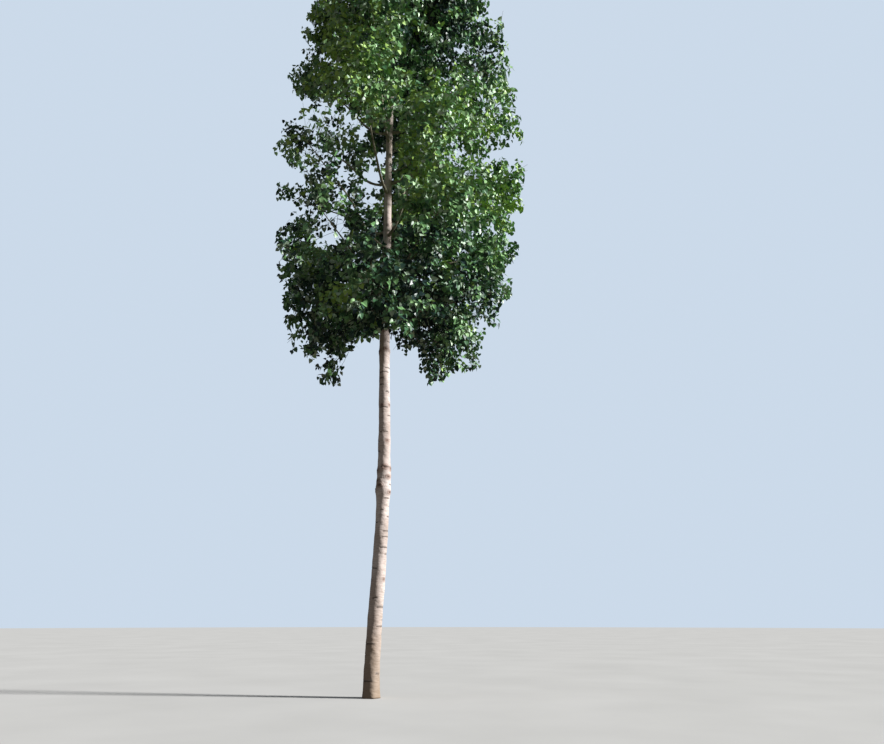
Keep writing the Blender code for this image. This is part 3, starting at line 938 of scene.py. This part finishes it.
class Cell:
    """The part of the crown nearer to one mass's middle than to any other's."""

    def __init__(self, index):
        others = np.delete(middles, index, axis=0)
        self.away = unit(others - middles[index])
        self.limits = np.sum((others + middles[index]) / 2.0 * self.away, axis=1) - CELL_MARGIN

    def holds(self, points):
        points = np.atleast_2d(points)
        inside = (points @ self.away.T < self.limits).all(axis=1)
        inside &= (points > box_low).all(axis=1) & (points < box_high).all(axis=1)
        return inside & (crown_share(points) <= 1.0)

    def room(self, point, heading, most):
        """How far from point along heading the cell and the crown go on."""
        distances = np.arange(STRIDE, most + STRIDE, STRIDE)
        kept = self.holds(point + heading * distances[:, None])
        return most if kept.all() else float(distances[np.argmin(kept)] - STRIDE)


# %% [markdown]
# ## Where the sky shows through
#
# From the photographer's place the crown isn't a closed wall. The pale trunk shows between the
# third and fifth whorls, and on its left the sky comes through in ragged windows. Each is an
# oval on the upright plane through the trunk, seen from the eye. A share of the branches in
# it is left out, then of their twigs, then of the leaves, so a lace of stray sprays is left.
# The low sun also reaches the trunk in a few places, and the leaves beside it, so the sprays
# are thinner along the light's way to them.

# %% Openings
# Across and height of the middle, half width and half height, and the share left out
OPENINGS = (
    (-1.44, 10.87, 0.48, 0.55, 0.52),
    (-1.80, 14.40, 0.98, 0.66, 0.46),
    (-0.36, 12.30, 0.28, 0.68, 0.62),
    (-0.75, 13.95, 0.32, 0.36, 0.42),
    (-1.05, 11.80, 0.50, 0.28, 0.42),
    (-2.20, 11.45, 0.50, 0.48, 0.42),
    (-1.75, 12.80, 1.10, 0.90, 0.33),
    (-0.15, 7.30, 0.80, 0.62, 0.96),
)
OPENING_EDGE = (0.75, 1.25)
# The trunk's bare stretch: where it starts and ends, how far it is clear to either side and
# in front, and the share left out
BARE_FROM = (10.15, 10.65)
BARE_TO = (13.8, 14.5)
BARE_BESIDE = (0.156, 0.286)
BARE_FRONT = 0.1
BARE_LEFT_OUT = 0.93
# Where the light comes through to the trunk's plane: height, half height, depths, share left out
LIGHT_SHAFTS = (
    (7.05, 0.95, -0.26, 0.26, 0.60),
    (10.95, 0.75, -0.22, 0.22, 0.42),
    (12.80, 0.45, -0.20, 0.20, 0.56),
    (14.55, 0.50, -0.22, 0.22, 0.70),
    (12.30, 2.20, -1.40, -0.22, 0.26),
)
eye_place = np.array(EYE)


def seen_at(points):
    """Where the line from the eye through each point meets the upright plane of the trunk."""
    share = -eye_place[1] / (points[:, 1] - eye_place[1])
    return eye_place + (points - eye_place) * share[:, None]


def left_open(points, rng):
    """Whether each point falls in an opening and is left out there."""
    seen = seen_at(points)
    chance = rng.random(len(points))
    out = np.zeros(len(points), bool)
    for across, height, half_width, half_height, share in OPENINGS:
        far = np.hypot((seen[:, 0] - across) / half_width, (seen[:, 2] - height) / half_height)
        out |= chance < share * (1.0 - smooth_step(*OPENING_EDGE, far))
    beside = np.abs(seen[:, 0] - eased(SWAY_ACROSS, seen[:, 2]))
    band = smooth_step(*BARE_FROM, seen[:, 2])
    band *= 1.0 - smooth_step(*BARE_TO, seen[:, 2])
    near = 1.0 - smooth_step(*BARE_BESIDE, beside)
    out |= (points[:, 1] < BARE_FRONT) & (chance < BARE_LEFT_OUT * band * near)
    run = points[:, 0] / SUN_FROM[0]
    depth = points[:, 1] - run * SUN_FROM[1]
    struck = points[:, 2] - run * SUN_FROM[2]
    for height, half_height, front, back, share in LIGHT_SHAFTS:
        lit = (run > 0.0) & (np.abs(struck - height) < half_height)
        out |= lit & (depth > front) & (depth < back) & (chance < share)
    return out


print(len(OPENINGS), "openings and", len(LIGHT_SHAFTS), "shafts of light")

# %% [markdown]
# ## How a shoot runs
#
# A shoot leaves its parent at a spread, turned on from the one before it by the golden angle,
# so that none lies over the next. Then it wavers and turns up towards the light.

# %% Shoots
GOLDEN_ANGLE = math.pi * (3.0 - math.sqrt(5.0))


def grow_shoot(start, heading, length, count, rise, waver, rng):
    """A shoot's points: it turns up a little as it goes, and wavers."""
    points = [start]
    for _ in range(count - 1):
        heading = unit(heading + UP * rise + rng.normal(0.0, waver, 3))
        points.append(points[-1] + heading * (length / (count - 1)))
    return np.array(points)


def along(route, distance):
    """The point and heading at a distance along a route."""
    steps = np.diff(route, axis=0)
    lengths = np.linalg.norm(steps, axis=1)
    index = 0
    while index < len(lengths) - 1 and distance > lengths[index]:
        distance -= lengths[index]
        index += 1
    heading = steps[index] / lengths[index]
    return route[index] + heading * distance, heading


def fork(heading, turn, spread):
    """A heading that leaves another at spread degrees, on the side given by turn."""
    side, up = square_to(heading)
    out = side * math.cos(turn) + up * math.sin(turn)
    angle = math.radians(spread)
    return unit(heading * math.cos(angle) + out * math.sin(angle))


# %% [markdown]
# ## One mass
#
# A mass grows by one rule, twice: branches leave its stem and its bough, and twigs leave the
# branches. Whatever grows is measured against its cell and the openings first. Leaves stand
# along the twigs and the outer parts of branches, and those at a shoot's tip are still small.

# %% Growing one mass
MASS_SEEDS = 24000
# Pairs that end in _CHANCE are the least and the most that chance makes of a measure
BRANCH_STEP = 0.062
BRANCH_SPREAD = 56.0
FOOT_SPREAD = 34.0
SPREAD_CHANCE = (0.75, 1.1)
LENGTH_CHANCE = (0.65, 1.1)
BRANCH_LONGEST = 1.70
TIP_SHARE = 0.75
LEADER_TIP_SHARE = 0.24
BACK_SHARE = 1.2
BRANCH_SHORTEST = 0.14
BRANCH_POINTS = 7
BRANCH_SHAPE = (0.02, 0.07)
BRANCH_WATCHED = [3, 5]
TWIG_STEP = 0.105
TWIG_STEP_CHANCE = (0.85, 1.15)
TWIG_SPREAD = 52.0
TWIG_SPREAD_CHANCE = (0.7, 1.15)
TWIG_LENGTH_CHANCE = (0.45, 1.1)
TWIG_LONGEST = 0.52
TWIG_SHORTEST = 0.07
TWIG_POINTS = 4
TWIG_SHAPE = (0.10, 0.10)
LEAF_ROOM = 0.07
LEAF_STEP = 0.048
LEAF_STEP_CHANCE = (0.8, 1.25)
LEAFY_STEM = 0.75
LEAFY_BRANCH = 0.55
LEAFLESS_TWIG = 0.03
YOUNGEST = 0.72
YOUNG_LENGTH = 0.12
BARE_BOUGH = 0.12
BOUGH_STEP = 0.09


class Growth:
    """Everything that one mass grows: branches, twigs and seats for leaves."""

    def __init__(self, index, limb):
        self.cell = Cell(index)
        self.rng = np.random.default_rng(MASS_SEEDS + index)
        self.tip_share = LEADER_TIP_SHARE if limb["name"] == "leader" else TIP_SHARE
        self.branches = []
        self.twigs = []
        self.seats = []
        self.sprays = 0
        self.turn = self.rng.uniform(0.0, FULL_TURN)
        length = float(step_lengths(limb["stem"]).sum())
        self.leaf_shoot(limb["stem"], LEAFY_STEM * length, length)
        distance = length - BRANCH_STEP * 0.6
        while distance > BRANCH_STEP * 0.5:
            self.grow_branch(limb["stem"], distance, (length - distance) / length)
            distance -= BRANCH_STEP
        if limb["bough"] is not None:
            length = float(step_lengths(limb["bough"]).sum())
            distance = length
            while distance > length * BARE_BOUGH:
                self.grow_branch(limb["bough"], distance, 0.5)
                distance -= BOUGH_STEP

    def grow_branch(self, limb_route, distance, back):
        """A branch with its twigs. back is 0 at the stem's tip and 1 at its foot."""
        rng = self.rng
        point, heading = along(limb_route, distance)
        spread = (BRANCH_SPREAD + FOOT_SPREAD * back) * rng.uniform(*SPREAD_CHANCE)
        forward = fork(heading, self.turn, spread)
        self.turn += GOLDEN_ANGLE
        share = min(1.0, self.tip_share + BACK_SHARE * back)
        most = BRANCH_LONGEST * share * rng.uniform(*LENGTH_CHANCE)
        length = min(self.cell.room(point, forward, most + LEAF_ROOM) - LEAF_ROOM, most)
        if length < BRANCH_SHORTEST:
            return
        route = grow_shoot(point, forward, length, BRANCH_POINTS, *BRANCH_SHAPE, rng)
        if left_open(route[BRANCH_WATCHED], rng).any():
            return
        self.branches.append(route)
        self.leaf_shoot(route, length * LEAFY_BRANCH, length)
        turn = rng.uniform(0.0, FULL_TURN)
        distance = length - TWIG_STEP * 0.5
        while distance > TWIG_STEP * 0.6:
            self.grow_twig(route, distance, distance / length, turn)
            turn += GOLDEN_ANGLE
            distance -= TWIG_STEP * rng.uniform(*TWIG_STEP_CHANCE)

    def grow_twig(self, route, distance, share, turn):
        """A twig of a branch. share is 0 at the branch's foot and 1 at its tip."""
        rng = self.rng
        point, heading = along(route, distance)
        forward = fork(heading, turn, TWIG_SPREAD * rng.uniform(*TWIG_SPREAD_CHANCE))
        most = TWIG_LONGEST * (1.0 - 0.5 * share) * rng.uniform(*TWIG_LENGTH_CHANCE)
        length = min(self.cell.room(point, forward, most + LEAF_ROOM) - LEAF_ROOM * 0.6, most)
        if length < TWIG_SHORTEST:
            return
        twig = grow_shoot(point, forward, length, TWIG_POINTS, *TWIG_SHAPE, rng)
        if left_open(twig[1:3].mean(axis=0, keepdims=True), rng)[0]:
            return
        self.twigs.append(twig)
        self.leaf_shoot(twig, LEAFLESS_TWIG, length)

    def leaf_shoot(self, route, start, end):
        """Seats for leaves along a shoot, from its end back to start: one spray."""
        turn = self.rng.uniform(0.0, FULL_TURN)
        distance = end
        while distance > start:
            point, heading = along(route, distance)
            young = YOUNGEST + (1.0 - YOUNGEST) * min(1.0, (end - distance) / YOUNG_LENGTH)
            self.seats.append((*point, *heading, turn, young, self.sprays))
            turn += GOLDEN_ANGLE
            distance -= LEAF_STEP * self.rng.uniform(*LEAF_STEP_CHANCE)
        self.sprays += 1


growths = {}
for index, limb in enumerate(limbs):
    growths[limb["name"]] = Growth(index, limb)
print(sum(len(g.branches) for g in growths.values()), "branches,",
      sum(len(g.twigs) for g in growths.values()), "twigs,",
      sum(len(g.seats) for g in growths.values()), "seats for leaves")

# %% [markdown]
# ## Twigs
#
# Thousands of thin shoots are too many for one object each, so the wood of a part of the
# crown is one joined mesh. Each shoot is a narrow tapering tube along its route, closed at
# both ends, and the points of all tubes are worked out at once as arrays.

# %% Tubes from arrays
def tubes(routes, foot, tip, sides):
    """The points and faces of tubes along routes, whose radius goes from foot to tip."""
    count, length = routes.shape[:2]
    foot = np.broadcast_to(foot, count)[:, None]
    radii = foot + (tip - foot) * np.linspace(0.0, 1.0, length)
    across, ups = frames_along(routes)
    angles = (np.arange(sides) * FULL_TURN / sides)[:, None]
    ring = across[:, :, None] * np.cos(angles) + ups[:, :, None] * np.sin(angles)
    points = routes[:, :, None] + ring * radii[:, :, None, None]
    first = (np.arange(count) * length * sides)[:, None, None]
    row = (np.arange(length - 1) * sides)[None, :, None]
    side = np.arange(sides)[None, None, :]
    after = (side + 1) % sides
    quads = np.stack([
        first + row + side, first + row + after,
        first + row + sides + after, first + row + sides + side,
    ], axis=-1).reshape(-1, 4)
    feet = (first[:, 0] + np.arange(sides)[::-1]).tolist()
    tips = (first[:, 0] + (length - 1) * sides + np.arange(sides)).tolist()
    return points.reshape(-1, 3), quads.tolist() + feet + tips


def mesh_of(name, points, faces, finishes, worn, smooth):
    """A mesh whose faces wear the finishes that are numbered in worn."""
    mesh = bpy.data.meshes.new(name)
    mesh.from_pydata(points.tolist(), [], faces)
    for finish in finishes:
        mesh.materials.append(finish)
    mesh.polygons.foreach_set("material_index", worn)
    mesh.polygons.foreach_set("use_smooth", [smooth] * len(faces))
    mesh.update()
    return mesh


def plain_finish(name, colour, roughness, specular=0.4):
    finish, nodes = new_finish(name, roughness, specular)
    nodes.shader.inputs["Base Color"].default_value = (*colour, 1.0)
    return finish


# %% [markdown]
# ## The zones of the crown
#
# The crown is parted into six zones, one for each whorl and one for the top, so that each
# joined mesh stays small enough to handle. Branches, twigs and the stems of short shoots
# have their own thickness and bark.

# %% Wood of the zones
# The starts of the names of the masses in each zone
ZONES = {
    "low": ("1_", "inner_1"),
    "second": ("2_", "inner_2"),
    "third": ("3_", "inner_3"),
    "fourth": ("4_", "inner_4"),
    "fifth": ("5_",),
    "top": ("upper_", "leader"),
}
BRANCH_RADII = (0.0075, 0.0028)
BRANCH_THINNEST = 0.45
BRANCH_SIDES = 5
TWIG_RADII = (0.0034, 0.0014)
TWIG_SIDES = 3
STEM_SIDES = 10

zone_names = {}
for zone, starts in ZONES.items():
    zone_names[zone] = [name for name in growths if name.startswith(starts)]
branch_finish = plain_finish("olive_branch_bark", (0.155, 0.14, 0.085), 0.75)
twig_finish = plain_finish("brown_green_twig", (0.13, 0.135, 0.06), 0.65)
for zone, names in zone_names.items():
    branches = np.array([route for name in names for route in growths[name].branches])
    twigs = np.array([route for name in names for route in growths[name].twigs])
    shares = np.clip(step_lengths(branches).sum(axis=1) / BRANCH_LONGEST, BRANCH_THINNEST, 1.0)
    parts = [
        tubes(branches, BRANCH_RADII[0] * shares, BRANCH_RADII[1], BRANCH_SIDES),
        tubes(twigs, *TWIG_RADII, TWIG_SIDES),
    ]
    stems = [limb["stem"] for limb in limbs if limb["name"] in names and limb["bough"] is None]
    if stems:
        feet = np.full(len(stems), STEM_RADIUS)
        if zone == "top":
            feet[-1] = trunk_radii(TRUNK_TOP, 0.0) * TOP_FIT
        parts.append(tubes(np.array(stems), feet, FINE_END, STEM_SIDES))
    faces, worn = [], []
    first = 0
    for number, (points, part_faces) in enumerate(parts):
        faces.extend([corner + first for corner in face] for face in part_faces)
        worn.extend([number] * len(part_faces))
        first += len(points)
    points = np.vstack([points for points, _ in parts])
    finishes = (branch_finish, twig_finish, bough_finish)[:len(parts)]
    mesh = mesh_of(f"twigs_{zone}", points, faces, finishes, worn, True)
    place_piece(mesh, ["foliage_" + name for name in names])

# %% [markdown]
# ## Leaves
#
# A poplar's leaf is a broad triangle with a rounded base and a drawn-out tip, on a long flat
# stalk that lets it flutter. Each is one folded sheet of eight faces with its own outline,
# and a two-faced stalk. Cut-out pictures would lose the outline in the exported model.

# %% The leaf's outline
# Across and along, in shares of the blade's length, from the base round the left side
LEAF_EDGE = ((-0.34, 0.0), (-0.49, 0.25), (-0.34, 0.61))
LEAF_NOTCH = 0.06
LEAF_HEART = 0.42
LEAF_FOLD = (0.10, 0.30, 0.48)
LEAF_CURL = (0.10, 0.22, 0.05)
# Points 0 to 8 are the blade's and 9 to 11 the stalk's. Point 4 is the blade's heart
HEART = 4
LEAF_FACES = (
    (0, 4, 1), (1, 4, 2), (2, 4, 3), (3, 4, 8),
    (0, 5, 4), (5, 6, 4), (6, 7, 4), (7, 8, 4), (9, 10, 0), (9, 0, 11),
)


def leaf_points(fold, curl):
    """Base, left edge, heart, right edge and tip of one blade along +Y, facing +Z."""
    right = [(-x, y) for x, y in LEAF_EDGE]
    flat = np.array([(0.0, LEAF_NOTCH), *LEAF_EDGE, (0.0, LEAF_HEART), *right, (0.0, 1.0)])
    lift = fold * np.abs(flat[:, 0]) - curl * flat[:, 1] ** 2
    return np.column_stack([flat, lift])


leaf_kinds = np.array([leaf_points(fold, curl) for fold, curl in zip(LEAF_FOLD, LEAF_CURL)])
print("leaf:", leaf_kinds.shape[1], "points in the blade,", len(LEAF_FACES), "faces in all")

# %% [markdown]
# ## Greens
#
# From the ground the crown is a flicker of very dark shaded leaves, plain mid-green ones and
# bright glints, with patches of yellow-green where the sun shines through them. Each spray is
# dealt one plain green, and the greens carry painted light and shade: a bright one more often
# out at the skin, on the sun's side and high up, a yellow-green painted glow in patches, and
# a dark one as painted shade deep inside or at the crown's foot. Now and then a leaf is a
# pale painted glint.

# %% Leaf colours
# Lit and shaded copies of one leaf green, dealt out as painted light and shade; the last is pale
GREENS = (
    ("deep_green_leaves", (0.014, 0.034, 0.034), 0.42),
    ("dark_green_leaves", (0.025, 0.065, 0.048), 0.40),
    ("mid_green_leaves", (0.066, 0.164, 0.078), 0.38),
    ("fresh_green_leaves", (0.146, 0.305, 0.118), 0.38),
    ("bright_green_leaves", (0.232, 0.410, 0.175), 0.40),
    ("yellow_green_leaves", (0.282, 0.450, 0.100), 0.44),
    # Pale green is a leaf's paler underside and also a painted glint
    ("pale_green_leaves", (0.365, 0.485, 0.355), 0.42),
)
PALE = len(GREENS) - 1
LEAF_GLOSS = 0.42
UNDERSIDE_AND_GLINT_SHARE = 0.13
MEAN_GREEN = 1.6
GREEN_STRAY = 0.9
# How much lighter sprays are painted further out, on the sun's side, high up and in patches
# of painted glow, and where that begins: painted light, and painted shade where the sum is
# low. The sun's side lies to the right and a little towards the eye
LIGHTER_OUT, FROM_OUT = 1.8, 0.6
LIGHTER_SIDE, SUNNY_SIDE = 1.1, (0.8, 0.35)
LIGHTER_HIGH, FROM_HIGH = 0.5, 0.15
LIGHTER_GLOW, FROM_GLOW = 9.0, 0.62
# Parts of the crown with painted light (a lift above nought) or painted shade (below) on
# their leaves: middle, reach along each axis, and lift
PAINTED_LIGHT_PATCHES = (
    ((1.6, -0.9, 12.6), (1.9, 2.2, 2.1), 1.4),
    ((0.5, -0.7, 11.8), (1.0, 1.7, 2.2), 3.0),
    ((-1.2, -1.6, 14.3), (1.3, 1.7, 1.7), 2.3),
    ((-1.6, -1.2, 12.7), (1.1, 1.6, 0.9), 1.7),
    ((-1.8, -1.2, 15.6), (1.2, 1.6, 1.2), 2.0),
    ((0.8, -1.0, 8.8), (1.7, 2.2, 1.1), -2.6),
    ((-1.2, -1.5, 8.7), (1.1, 1.6, 1.0), 1.2),
    ((1.7, -1.0, 17.0), (1.6, 2.0, 1.4), -2.2),
)
green_finishes = [plain_finish(*green, LEAF_GLOSS) for green in GREENS]


def glow_patchiness(points):
    """A slow wave through the crown, about 0 to 1, that gathers a painted glow, as of sun shining
    through leaves, in patches.
    """
    x, y, z = points.T
    wave = np.sin(x * 2.3 + z * 1.1 + 0.7) + np.sin(y * 2.9 - z * 1.7 + 2.0)
    return 0.5 + (wave + np.sin(z * 2.6 - x * 1.3 + y)) / 6.0


def deal_greens(points, sprays, rng):
    """One green for each spray, painted lighter or darker by where it stands in the light, with a
    leaf now and then a step lighter, darker or turned over to its pale underside, also a painted
    glint.
    """
    numbers, first = np.unique(sprays, return_index=True)
    spot = points[first]
    height = (spot[:, 2] - CROWN_FOOT) / (TREE_HEIGHT - CROWN_FOOT)
    out = crown_share(spot)
    side = (spot[:, 0] * SUNNY_SIDE[0] - spot[:, 1] * SUNNY_SIDE[1]) / CROWN_REACH
    # Painted light out at the skin, on the sun's side and high up; painted shade deep inside and
    # low
    light = MEAN_GREEN + LIGHTER_OUT * (out - FROM_OUT) + LIGHTER_SIDE * side
    light += LIGHTER_HIGH * (height - FROM_HIGH)
    # Patches of painted glow, brighter and yellower greens
    light += LIGHTER_GLOW * np.clip(glow_patchiness(spot) - FROM_GLOW, 0.0, 1.0)
    # Painted light and painted shade in parts of the crown
    for middle, reach, lift in PAINTED_LIGHT_PATCHES:
        light += lift * np.exp(-np.sum(((spot - middle) / reach) ** 2, axis=1))
    light += rng.normal(0.0, GREEN_STRAY, len(spot))
    spray_green = np.clip(np.rint(light), 0, PALE - 1).astype(int)
    green = spray_green[np.searchsorted(numbers, sprays)]
    green = np.clip(green + rng.choice([-1, 0, 0, 0, 1], len(green)), 0, PALE - 1)
    # Leaves turned over to their paler underside, which also stand as painted glints
    underside_and_glint = rng.random(len(green)) < UNDERSIDE_AND_GLINT_SHARE
    return np.where(underside_and_glint, PALE, green)


print(len(GREENS), "greens, dealt out by", len(PAINTED_LIGHT_PATCHES), "patches")

# %% [markdown]
# ## How leaves hang
#
# Each stalk leaves its twig outward and a little forward, and the blade hangs from its end
# by its own weight, its upper side turned up and away from the trunk to the light. Chance
# tilts every leaf, which makes the flicker. All leaves of a mass are worked out as arrays.

# %% Hang the leaves
LEAF_LENGTH = 0.142
LEAF_SIZES = (0.78, 1.12)
STALK_LENGTH = 0.056
STALK_SIZES = (0.7, 1.2)
STALK_WIDTH = 0.0026
# How much of a stalk's heading is the twig's, outward and up, and how far chance tilts it
STALK_AHEAD, STALK_OUT, STALK_UP, STALK_STRAY = 0.55, 0.85, 0.12, 0.12
# How much of a blade's heading is the stalk's and downward, and its tilt
BLADE_AHEAD, BLADE_STRAY = 0.75, 0.22
LEAF_HANG = (0.15, 1.25)
# How much its upper side faces up and away from the trunk, and its tilt
FACING_UP, FACING_OUT, FACING_STRAY = 0.60, 0.55, 0.50


def hang_leaves(seats, rng):
    """The corners of the leaves on these seats: each blade's, then its stalk's."""
    root, heading, turn, young = seats[:, :3], seats[:, 3:6], seats[:, 6], seats[:, 7]
    count = len(seats)
    side, up = square_to(heading)
    out = side * np.cos(turn)[:, None] + up * np.sin(turn)[:, None]
    stalk = heading * STALK_AHEAD + out * STALK_OUT + UP * STALK_UP
    stalk = unit(stalk + rng.normal(0.0, STALK_STRAY, (count, 3)))
    size = LEAF_LENGTH * young * rng.uniform(*LEAF_SIZES, count)
    base = root + stalk * (STALK_LENGTH * young * rng.uniform(*STALK_SIZES, count))[:, None]
    hang = rng.uniform(*LEAF_HANG, count)[:, None]
    ahead = stalk * BLADE_AHEAD - UP * hang
    ahead = unit(ahead + rng.normal(0.0, BLADE_STRAY, (count, 3)))
    trunk_way = unit((root - trunk_centres(root[:, 2])) * (1.0, 1.0, 0.0))
    facing = UP * FACING_UP + trunk_way * FACING_OUT
    facing = facing + rng.normal(0.0, FACING_STRAY, (count, 3))
    facing = unit(facing - ahead * np.sum(facing * ahead, axis=1, keepdims=True))
    across = np.cross(ahead, facing)
    kind = leaf_kinds[rng.integers(0, len(leaf_kinds), count)] * size[:, None, None]
    blade = (
        base[:, None] + kind[:, :, 0:1] * across[:, None]
        + kind[:, :, 1:2] * ahead[:, None] + kind[:, :, 2:3] * facing[:, None]
    )
    wide = unit(np.cross(stalk, facing)) * STALK_WIDTH
    foot = np.stack([root - wide, root + wide, base + wide], axis=1)
    return np.concatenate([blade, foot], axis=1)


# %% [markdown]
# ## The leaves of each zone
#
# A leaf stays only if its heart lies in its mass's cell, outside the openings and clear of
# the trunk. The leaves of one zone are one mesh that wears all the greens.

# %% Leaves of the zones
LEAF_SEEDS = 1848
TRUNK_CLEAR = 0.05

leaf_total = 0
for number, (zone, names) in enumerate(zone_names.items()):
    rng = np.random.default_rng(LEAF_SEEDS + number)
    kept_leaves, kept_greens = [], []
    for growth in [growths[name] for name in names]:
        seats = np.array(growth.seats)
        leaves = hang_leaves(seats, rng)
        greens = deal_greens(seats[:, :3], seats[:, 8], rng)
        heart = leaves[:, HEART]
        kept = growth.cell.holds(heart) & ~left_open(heart, rng)
        kept &= ((leaves > box_low) & (leaves < box_high)).all(axis=(1, 2))
        trunk_gap = np.hypot(*(heart - trunk_centres(heart[:, 2]))[:, :2].T)
        kept &= trunk_gap > trunk_radii(heart[:, 2], 0.0) + TRUNK_CLEAR
        kept_leaves.append(leaves[kept])
        kept_greens.append(greens[kept])
    leaves = np.concatenate(kept_leaves)
    first = np.arange(len(leaves)) * leaves.shape[1]
    faces = (first[:, None, None] + np.array(LEAF_FACES)).reshape(-1, 3).tolist()
    worn = np.repeat(np.concatenate(kept_greens), len(LEAF_FACES)).astype(np.int32)
    points = leaves.reshape(-1, 3)
    mesh = mesh_of(f"leaves_{zone}", points, faces, green_finishes, worn, False)
    place_piece(mesh, ["foliage_" + name for name in names])
    leaf_total += len(leaves)
print(leaf_total, "leaves in all")
